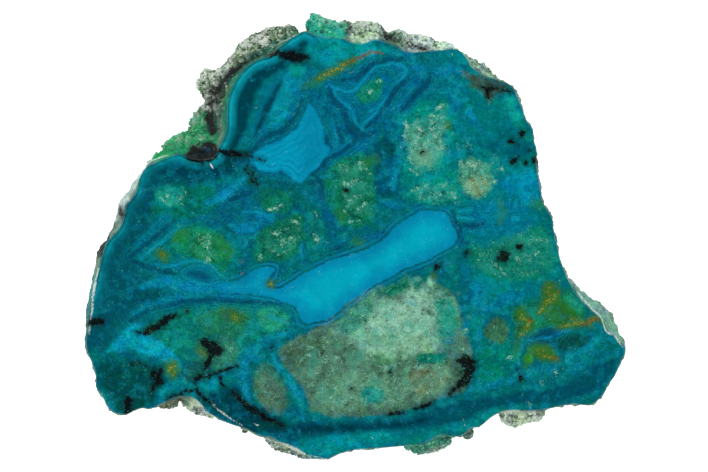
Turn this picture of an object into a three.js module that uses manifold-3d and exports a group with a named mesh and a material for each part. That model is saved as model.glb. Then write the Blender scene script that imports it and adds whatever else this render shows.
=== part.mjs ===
// A polished slice of chrysocolla: a flat slab of stone, polished on top and sawn flat behind, whose rim is
// still the lumpy crust that the stone grew with. Millimetres, +Z up, the sawn back on z = 0.
import * as THREE from "three";
import { mergeVertices } from "three/addons/utils/BufferGeometryUtils.js";
import { ImprovedNoise } from "three/addons/math/ImprovedNoise.js";
import Module from "manifold-3d";

// Driving dimensions
const THICKNESS = 5.5; // from the sawn back to the polished face
const RING_POINTS = 310; // points round each ring of the rim
const ARRIS = 0.2; // the worn corner round the polished face
const ROUGHNESS = 0.85; // how far the bare rim wanders in and out
const CREST = 0.1; // the lump height that reaches the rim's outline
const COARSE_LUMP = { period: 4.2, share: 0.65 }; // the rim's large lumps
const FINE_LUMP = { period: 1.9, share: 0.45 }; // its small ones
const FINE_SHIFT = 31; // keeps the small lumps out of step with the large ones
const RISE_SHIFT = 17; // and their rise out of step with their reach
const CRUST_RELIEF = 1.3; // how far the crust's lumps rise and fall
const CRUST_SWELL = 0.35; // how far the crust bulges past its own outline
const FULL_CRUST = 2; // a crust this broad is lumpy all over
const CRUST_FALL = 0.06; // how far the crust slopes down from the polished edge, as a share of the thickness
const CRUST_MARGIN = 0.3; // how far its lumps keep off the back and the face
const KNOB_RADIUS = [0.9, 1.7]; // the round knobs on the crust, smallest and largest
const KNOB_CLEARANCE = 0.35; // how far a knob stays under the polished face
const DENTS = 1.7; // how many dents and bumps a ball's radius holds

// The polished face's edge, clockwise from the foot of the left limb
const FACE_EDGE = [
  [-44.7, -17.5], [-44.5, -15.7], [-44.3, -13.7], [-44, -11.5], [-43.5, -9.3], [-43, -7.3], [-42.5, -5.2],
  [-42, -3.2], [-41.3, -1.2], [-40.5, -0.2], [-39.3, 1], [-38.5, 2.7], [-38.2, 4], [-38, 5.2], [-37, 6.3],
  [-36.2, 7.7], [-35.8, 9.7], [-35, 11.3], [-33.3, 12.2], [-32.2, 12.7], [-30.5, 13.3], [-29.2, 13.7],
  [-27.5, 13], [-26, 12.7], [-24.5, 12.8], [-23.2, 13.2], [-22.8, 14.3], [-22, 15.7], [-21.3, 17.7],
  [-21.2, 20.2], [-21, 22.7], [-20.3, 24.8], [-19.2, 26.7], [-17.8, 28.3], [-16.2, 29.3], [-13.5, 30.3],
  [-12.8, 31.2], [-11.8, 32], [-10.5, 33], [-9.2, 33.7], [-8.2, 34.2], [-7.5, 33.7], [-5, 33], [-2.5, 33],
  [-0.5, 32.2], [1.2, 32], [3.3, 32.7], [5, 32.3], [6.7, 31.7], [8, 30.8], [10, 30.6], [12.5, 30.8], [15, 31],
  [17.2, 31.1], [18.5, 29.8], [19.3, 28.3], [21, 27], [22.9, 26.3], [24.8, 25.7], [26.1, 25], [26.9, 23.5],
  [27.4, 22.3], [28, 20.8], [28.4, 19.5], [29.6, 17.8], [29.7, 16.2], [30.2, 14.5], [30.2, 12], [30.8, 8],
  [31.3, 5.5], [31.9, 4.5], [32.9, 2.8], [33, 1.4], [33.8, -2.3], [34.1, -3.8], [34.9, -5.9], [36.2, -8.6],
  [37.2, -10.1], [39.5, -12.5], [40.9, -13.7], [41.8, -15.6], [42.3, -16.3], [43.3, -16.7], [43.9, -17.6],
  [45.1, -18.9], [44.5, -20.3], [42.8, -23.9], [42.3, -24.2], [41.8, -25.5], [39.5, -27.9], [36.5, -27.8],
  [35.5, -27.9], [31.7, -28.7], [29, -28.9], [25, -28.9], [22.9, -29.9], [20.6, -31.7], [19.3, -31.8],
  [17.8, -33.1], [15.9, -33.2], [14.5, -32.8], [11, -34.5], [8, -34.8], [5, -35.1], [-0.8, -35.6],
  [-3.2, -36.4], [-4.2, -36.9], [-7.7, -36.7], [-9.5, -35.2], [-12.5, -34.2], [-13.8, -33.3], [-15.5, -33.2],
  [-18, -32], [-20, -31.4], [-22, -30.6], [-24, -29.5], [-25.5, -28], [-27, -26.7], [-29, -26.6],
  [-30.5, -27], [-32.5, -27.9], [-34.3, -28.7], [-35, -28.4], [-36.7, -28.9], [-38.2, -29.6],
  [-40.2, -29.2], [-41, -28.5], [-42, -26.5], [-43.1, -24.9], [-43, -23.5], [-43.7, -21], [-44.5, -19.2],
];

// Where crust stands out past the polished edge: each outline leaves the edge at its first point, comes back
// to it at its last, and runs clockwise. knobs is how many round lumps sit on it.
const CRUSTS = {
  left_limb: {
    knobs: 0,
    outline: [
      [-44.8, -17.5], [-44.6, -13], [-44.5, -11], [-44, -9], [-43.2, -5.7], [-42.8, -4], [-43.1, -3],
      [-41.3, -0.7], [-40.3, 1], [-39.6, 3.5], [-39, 5.8], [-38, 7], [-36.9, 7.9], [-36.8, 8.7],
      [-35.9, 10.2], [-34.9, 11.6],
    ],
  },
  upper_left: {
    knobs: 15,
    outline: [
      [-34.9, 11.6], [-34, 12.9], [-32, 14], [-32, 15], [-31.2, 16], [-30, 16.9], [-28.2, 17.3], [-27, 18],
      [-27.7, 18.9], [-27.1, 19.9], [-26.1, 21], [-24.6, 22.4], [-23.8, 23.3], [-25.1, 24.1],
      [-26.1, 25.2], [-25.5, 26.5], [-25, 27.9], [-23.5, 27.4], [-21.4, 28.5], [-19.8, 30.8],
      [-19.2, 32.1], [-17, 33.5], [-13.5, 34.7], [-10.4, 34.7], [-9.2, 33.9],
    ],
  },
  top: {
    knobs: 8,
    outline: [
      [-8.2, 34.4], [-7.8, 35.9], [-7.4, 37.1], [-6.3, 37], [-4.8, 36.3], [-3, 36], [-1, 35.6], [-0.2, 34.9],
      [1.3, 35.6], [3.4, 35.4], [4.1, 34.3], [5.2, 33.3], [5.8, 33.8], [7.2, 34.2], [8, 34.3], [8.5, 33],
      [10.4, 33.6], [13.2, 32.5], [15, 32.1], [17.2, 31.2],
    ],
  },
  upper_right: {
    knobs: 2,
    outline: [[17.2, 31.2], [18.9, 29.5], [20.8, 28.5], [21.7, 28.2], [22.9, 26.5], [25.5, 25.5]],
  },
  lower_right_skirt: {
    knobs: 0,
    outline: [
      [35.3, -6.8], [37.2, -8.4], [38, -9.5], [39.9, -10.8], [41.7, -11.9], [42.8, -12.8], [43.3, -14.8],
      [43.9, -16.4], [44.9, -18.1], [45.1, -18.9],
    ],
  },
  bottom_right_block: {
    knobs: 2,
    outline: [[31.4, -28.8], [31.2, -30.4], [28, -31], [26.5, -31.5], [25.2, -30.9], [24.4, -29.3]],
  },
  small_lump: {
    knobs: 0,
    outline: [[19.6, -31.8], [19.6, -32.7], [18.8, -33.6], [17.8, -33.1]],
  },
  green_lump: {
    knobs: 2,
    outline: [[15.8, -33.2], [15.9, -34.5], [14.6, -35.2], [12.8, -35.9], [10.8, -35.9], [8, -34.8]],
  },
  bottom_left_strip: {
    knobs: 1,
    outline: [[-4.2, -36.9], [-7, -37], [-10.5, -36.2], [-13.4, -35.1], [-15.4, -33.3]],
  },
  small_crust: {
    knobs: 0,
    outline: [[-17.4, -32.3], [-18, -32.9], [-19.3, -31.7]],
  },
  lower_left_notch: {
    knobs: 3,
    outline: [
      [-22.9, -30.1], [-25.1, -29.6], [-27, -29.3], [-27.9, -28.2], [-29.3, -27.4], [-30, -28.4],
      [-33.2, -28.3],
    ],
  },
};

// The rim's rings, from the polished edge down to the back. height is a share of the thickness, out a share
// of the crust's reach, swell is how far the bare wall stands past the polished edge, and rough scales the
// lumps. The polished edge and the back's edge stay level, and the rings between are lumpy.
const RINGS = [
  { height: 1, out: 0, swell: 0, rough: 0, lumpy: false },
  { height: 1 - ARRIS / THICKNESS, out: 0.05, swell: 0.75 * ARRIS, rough: 0.05, lumpy: false },
  { height: 0.87, out: 0.28, swell: 0.2, rough: 0.55, lumpy: true },
  { height: 0.76, out: 0.55, swell: 0.25, rough: 0.9, lumpy: true },
  { height: 0.63, out: 0.82, swell: 0.25, rough: 1, lumpy: true },
  { height: 0.46, out: 1, swell: 0.2, rough: 1, lumpy: true },
  { height: 0.28, out: 0.97, swell: 0.05, rough: 1, lumpy: true },
  { height: 0.12, out: 0.88, swell: -0.25, rough: 0.9, lumpy: true },
  { height: 0, out: 0.78, swell: -0.6, rough: 0.7, lumpy: false },
];

// The open pocket in the upper left corner of the face, between the polish and the crust
const POCKET = {
  centre: [-25.3, 14],
  radii: [2.5, 1.15, 1.5],
  below_face: 0.15,
  turn: 0.06,
  unevenness: 0.2,
};

// How round lumps sit on the crust. Pairs are the least and the most: along is the place within a knob's own
// share of the crust, seat its place between the edge and as far out as it can sit, lift its place between
// the lowest knob's height and as high as it can stand, and breadth and depth are shares of its radius.
const KNOB = {
  along: [0.3, 0.7],
  seat: [0.7, 1],
  lowest: 0.35 * THICKNESS,
  lift: [0.3, 1],
  breadth: [0.8, 1.1],
  depth: [0.75, 1],
  unevenness: 0.25,
  narrowed: 0.45, // the share of its size that a knob keeps where the crust runs out
  overhang: 0.8, // how much of its radius a knob keeps inside the crust's outline
  slope: 0.25, // how fast the highest knobs sink away from the polished edge
};

const wasm = await Module();
wasm.setup();
const noise = new ImprovedNoise();

// A repeatable run of numbers from 0 to 1
function seededRandom(seed) {
  let state = seed;
  return () => {
    state = (state * 1664525 + 1013904223) % 4294967296;
    return state / 4294967296;
  };
}

// Lumps in space, about -1 to 1
function lumps(x, y, z) {
  const lump = ({ period, share }, shift) => share * noise.noise(x / period + shift, y / period, z / period);
  return lump(COARSE_LUMP, 0) + lump(FINE_LUMP, FINE_SHIFT);
}

// Evenly spaced points round the smooth closed curve through an outline
function ringPoints(outline, count) {
  const corners = outline.map(([x, y]) => new THREE.Vector3(x, y, 0));
  const curve = new THREE.CatmullRomCurve3(corners, true, "centripetal");
  curve.arcLengthDivisions = 8 * count;
  return curve.getSpacedPoints(count).slice(0, count);
}

// The point a share of the way along an open outline
function pointAlong(outline, share) {
  const points = outline.map(([x, y]) => new THREE.Vector2(x, y));
  const steps = points.slice(1).map((point, i) => point.distanceTo(points[i]));
  let left = share * steps.reduce((sum, step) => sum + step, 0);
  for (let i = 0; i < steps.length; i += 1) {
    if (left <= steps[i]) {
      return points[i].clone().lerp(points[i + 1], left / steps[i]);
    }
    left -= steps[i];
  }
  return points[points.length - 1].clone();
}

function nearestIndex(points, [x, y]) {
  let best = 0;
  points.forEach((point, i) => {
    if (Math.hypot(point.x - x, point.y - y) < Math.hypot(points[best].x - x, points[best].y - y)) {
      best = i;
    }
  });
  return best;
}

// Where a crust's outline leaves a ring of points, and how many points further on it comes back
function stretchOf(points, outline) {
  const first = nearestIndex(points, outline[0]);
  const last = nearestIndex(points, outline[outline.length - 1]);
  return { first, steps: (last - first + points.length) % points.length };
}

// For each point of the polished edge: where it is, which way is out, and how far out the crust reaches
function rimStations() {
  const edge = ringPoints(FACE_EDGE, RING_POINTS);
  const stations = edge.map((point, i) => {
    const before = edge[(i + RING_POINTS - 2) % RING_POINTS];
    const after = edge[(i + 2) % RING_POINTS];
    const along = new THREE.Vector2(after.x - before.x, after.y - before.y).normalize();
    const at = new THREE.Vector2(point.x, point.y);
    return { at, outward: new THREE.Vector2(-along.y, along.x), reach: new THREE.Vector2(0, 0) };
  });
  for (const { outline } of Object.values(CRUSTS)) {
    const { first, steps } = stretchOf(edge, outline);
    for (let i = 1; i < steps; i += 1) {
      const station = stations[(first + i) % RING_POINTS];
      station.reach = pointAlong(outline, i / steps).sub(station.at);
    }
  }
  return stations;
}

// One point of the rim, on one ring
function rimPoint(station, ring) {
  const crust = station.reach.length();
  const swell = crust > 0 ? CRUST_SWELL * ring.out : ring.swell;
  const x = station.at.x + station.reach.x * ring.out + station.outward.x * swell;
  const y = station.at.y + station.reach.y * ring.out + station.outward.y * swell;
  // lumps only fall back from the outline, so that it stays as seen from above
  const fallen = ring.rough * ROUGHNESS * (Math.min(lumps(x, y, ring.height * THICKNESS), CREST) - CREST);
  return [
    x + station.outward.x * fallen,
    y + station.outward.y * fallen,
    rimHeight(x, y, ring, Math.min(1, crust / FULL_CRUST)),
  ];
}

// How high one point of the rim lies: the rings on the crust rise and fall with its lumps
function rimHeight(x, y, ring, crusted) {
  const z = ring.height * THICKNESS;
  if (!ring.lumpy) {
    return z;
  }
  const rise = crusted * ring.rough * CRUST_RELIEF * lumps(y + RISE_SHIFT, x, z);
  const highest = THICKNESS * (1 - CRUST_FALL * (1 - ring.out)) - CRUST_MARGIN;
  return THREE.MathUtils.clamp(z + rise, CRUST_MARGIN, highest);
}

// The slab as rings joined one under the other and closed by the polished face and the sawn back
function slabGeometry(stations) {
  const rings = RINGS.map((ring) => stations.map((station) => rimPoint(station, ring)));
  const faces = [];
  for (let level = 0; level + 1 < rings.length; level += 1) {
    const upper = level * RING_POINTS;
    const lower = upper + RING_POINTS;
    for (let i = 0; i < RING_POINTS; i += 1) {
      const next = (i + 1) % RING_POINTS;
      faces.push([upper + i, upper + next, lower + i]);
      faces.push([upper + next, lower + next, lower + i]);
    }
  }
  const closeWith = (ring, start, facingUp) => {
    const flat = ring.map(([x, y]) => new THREE.Vector2(x, y));
    for (const [a, b, c] of THREE.ShapeUtils.triangulateShape(flat, [])) {
      const isUp = !THREE.ShapeUtils.isClockWise([flat[a], flat[b], flat[c]]);
      const face = isUp === facingUp ? [a, b, c] : [a, c, b];
      faces.push(face.map((corner) => corner + start));
    }
  };
  closeWith(rings[0], 0, true);
  closeWith(rings[rings.length - 1], (rings.length - 1) * RING_POINTS, false);
  const geometry = new THREE.BufferGeometry();
  geometry.setAttribute("position", new THREE.Float32BufferAttribute(rings.flat(2), 3));
  geometry.setIndex(faces.flat());
  return geometry;
}

// A ball drawn out to three radii, turned about Z, with its surface pushed in and out a little
function lumpGeometry(centre, radii, turn, unevenness) {
  const ball = new THREE.IcosahedronGeometry(1, 2);
  ball.deleteAttribute("normal");
  ball.deleteAttribute("uv");
  const lump = mergeVertices(ball);
  const position = lump.getAttribute("position");
  const point = new THREE.Vector3();
  for (let i = 0; i < position.count; i += 1) {
    point.fromBufferAttribute(position, i);
    const uneven = noise.noise(point.x * DENTS + centre[0], point.y * DENTS + centre[1], point.z * DENTS);
    point.multiplyScalar(1 + unevenness * uneven);
    position.setXYZ(i, point.x, point.y, point.z);
  }
  lump.scale(...radii);
  lump.rotateZ(turn);
  lump.translate(...centre);
  return lump;
}

// Round knobs along a crust, standing on its slope and below the polished face. They are smaller where it is
// narrow.
function knobGeometries(stations, { outline, knobs }, random) {
  const { first, steps } = stretchOf(stations.map((station) => station.at), outline);
  const between = ([least, most]) => THREE.MathUtils.lerp(least, most, random());
  const made = [];
  for (let i = 0; i < knobs; i += 1) {
    const share = (i + between(KNOB.along)) / knobs;
    const station = stations[(first + Math.round(share * steps)) % RING_POINTS];
    const reach = station.reach.length();
    const radius = between(KNOB_RADIUS) * Math.min(1, KNOB.narrowed + reach / (2 * FULL_CRUST));
    const out = Math.max(0, 1 - (KNOB.overhang * radius) / reach) * between(KNOB.seat);
    const top = (1 + KNOB.unevenness / 2) * radius;
    const highest = THICKNESS - KNOB_CLEARANCE - top - KNOB.slope * out * reach;
    const x = station.at.x + station.reach.x * out;
    const y = station.at.y + station.reach.y * out;
    const z = THREE.MathUtils.lerp(KNOB.lowest, highest, between(KNOB.lift));
    const radii = [radius, radius * between(KNOB.breadth), radius * between(KNOB.depth)];
    made.push(lumpGeometry([x, y, z], radii, Math.PI * random(), KNOB.unevenness));
  }
  return made;
}

function toSolid(geometry) {
  return new wasm.Manifold(new wasm.Mesh({
    numProp: 3,
    vertProperties: Float32Array.from(geometry.getAttribute("position").array),
    triVerts: Uint32Array.from(geometry.getIndex().array),
  }));
}

function fromSolid(solid) {
  const { vertProperties, triVerts } = solid.getMesh();
  const geometry = new THREE.BufferGeometry();
  geometry.setAttribute("position", new THREE.BufferAttribute(Float32Array.from(vertProperties), 3));
  geometry.setIndex(Array.from(triVerts));
  return geometry;
}

function chrysocollaSlice() {
  const random = seededRandom(7);
  const stations = rimStations();
  let stone = toSolid(slabGeometry(stations));
  for (const crust of Object.values(CRUSTS)) {
    for (const knob of knobGeometries(stations, crust, random)) {
      stone = stone.add(toSolid(knob));
    }
  }
  const pocketCentre = [...POCKET.centre, THICKNESS - POCKET.below_face];
  const pocket = lumpGeometry(pocketCentre, POCKET.radii, POCKET.turn, POCKET.unevenness);
  stone = stone.subtract(toSolid(pocket));
  const polishedStone = new THREE.MeshStandardMaterial({ color: 0x0a7a86, roughness: 0.12, metalness: 0 });
  const mesh = new THREE.Mesh(fromSolid(stone), polishedStone);
  mesh.name = "chrysocolla_slice";
  // the origin is under the middle of the outline
  const box = new THREE.Box3().setFromObject(mesh);
  const middle = box.getCenter(new THREE.Vector3());
  mesh.position.set(-middle.x, -middle.y, -box.min.z);
  return mesh;
}

const slice = new THREE.Group();
slice.add(chrysocollaSlice());

export default slice;
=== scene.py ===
import math

import bmesh
import bpy
import numpy as np
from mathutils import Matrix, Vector, geometry


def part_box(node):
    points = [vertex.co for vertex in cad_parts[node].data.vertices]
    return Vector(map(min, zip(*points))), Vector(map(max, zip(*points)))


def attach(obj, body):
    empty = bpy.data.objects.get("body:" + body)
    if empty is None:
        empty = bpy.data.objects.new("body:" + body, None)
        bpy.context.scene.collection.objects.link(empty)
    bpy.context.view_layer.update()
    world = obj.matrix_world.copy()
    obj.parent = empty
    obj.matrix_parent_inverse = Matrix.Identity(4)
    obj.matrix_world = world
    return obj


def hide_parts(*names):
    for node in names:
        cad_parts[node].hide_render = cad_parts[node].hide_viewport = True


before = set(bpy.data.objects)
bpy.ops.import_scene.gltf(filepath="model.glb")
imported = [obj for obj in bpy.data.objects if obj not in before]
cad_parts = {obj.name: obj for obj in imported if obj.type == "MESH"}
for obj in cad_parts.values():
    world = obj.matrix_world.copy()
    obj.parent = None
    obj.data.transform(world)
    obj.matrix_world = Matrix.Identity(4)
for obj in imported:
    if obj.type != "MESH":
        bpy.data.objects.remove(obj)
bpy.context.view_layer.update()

# Driving sizes, in millimetres unless a name says otherwise
MM = 0.001
NODE = "chrysocolla_slice"
slab_low, slab_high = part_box(NODE)
THICKNESS = (slab_high.z - slab_low.z) / MM
FACE_SPACING = 0.32
RIM_SPACING = 0.37
BACK_SPACING = 0.85
REFINING_ROUNDS = 4
FLAT = 0.002
ARRIS = 0.25
FAR = 4.0
THINNED = 0.6
THINNED_LENGTH = 4
BARE_WALL_RUGGEDNESS = 0.15
ALL_AXES = {"use_axis_x": True, "use_axis_y": True, "use_axis_z": True}
DRUSE_CLEARANCE = 0.45
DRUSE_DENSITY = 9.0
DRUSE_SIZE = (0.16, 0.46)

# Palette, as display colours
TEAL = "#036b72"
DEEP = "#003f4a"
DEEP_LEFT = "#04535f"
MID_LEFT = "#046478"
RIGHT_TEAL = "#01777a"
SEA = "#04867c"
GREEN = "#0b7058"
CYAN = "#02a6be"
LIGHT_TEAL = "#079ab0"
TURQUOISE = "#02868c"
NAVY = "#04405c"
DEEP_WATER = "#024f5e"
SMOKE = "#4d7560"
SMOKE_DARK = "#40614a"
INK = "#06090c"
RUST = "#8a5420"
GOLD = "#8f9636"
LEAF = "#22842a"
WHITE = "#dcebe0"
RIND = "#6c8a78"
# Painted highlight on the crust's crests, and painted shade in its hollows
CREST_PAINTED_HIGHLIGHT = "#d3e0d0"
HOLLOW_PAINTED_SHADE = "#2a4434"
AGATE_LIGHT = "#0b8fb0"
AGATE_DARK = "#03405e"
VEIN_SIDE = "#0487ae"
VEIN_SHADOW = "#04456c"
VEIN_HALO = "#0784ab"
POOL_LEFT = "#0496b6"
POOL_RIGHT = "#0384a6"
POOL_RIPPLE = "#0479a0"
POOL_SHADOW = "#04507a"
THREAD = "#0a98b8"
FINE_LINE = "#044a6c"
EYE_RING = "#0a93ae"
EYE_BLUE = "#04708c"
LEAF_BROWN = "#3f6a1c"
MILK = "#74b89c"
CURD_GREEN = "#56ad92"
CURD_WHITE = "#c4dfc8"
PIT = "#1b5a44"
QUARTZ_DOT = "#1a9f8e"
QUARTZ_STAIN = "#1d8a74"
GOLD_HALO = "#2f6a26"
GOLD_DARK = "#4f5c1a"
RUST_DARK = "#5c3a1a"
EDGE_SHADE = "#04605c"
EDGE_GLOW = "#0892a4"
EDGE_LINE = "#12a6b4"
CRUST_GREEN = "#1f7a5a"
# Painted light: near white on the crust's outer rim, as if lit through its translucent crystals
RIM_PAINTED_LIGHT = "#eaf3e8"
INK_HALO = "#06302e"
INK_BROWN = "#3a2416"
DUST = "#4fb8a4"
PINPOINT = "#86dcc4"
SAWN_FACE = "#5f9a9a"

# Tints, as factors on red, green and blue
GREENER = (0.9, 1.12, 0.8)
BLUER = (0.85, 0.9, 1.18)
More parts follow.
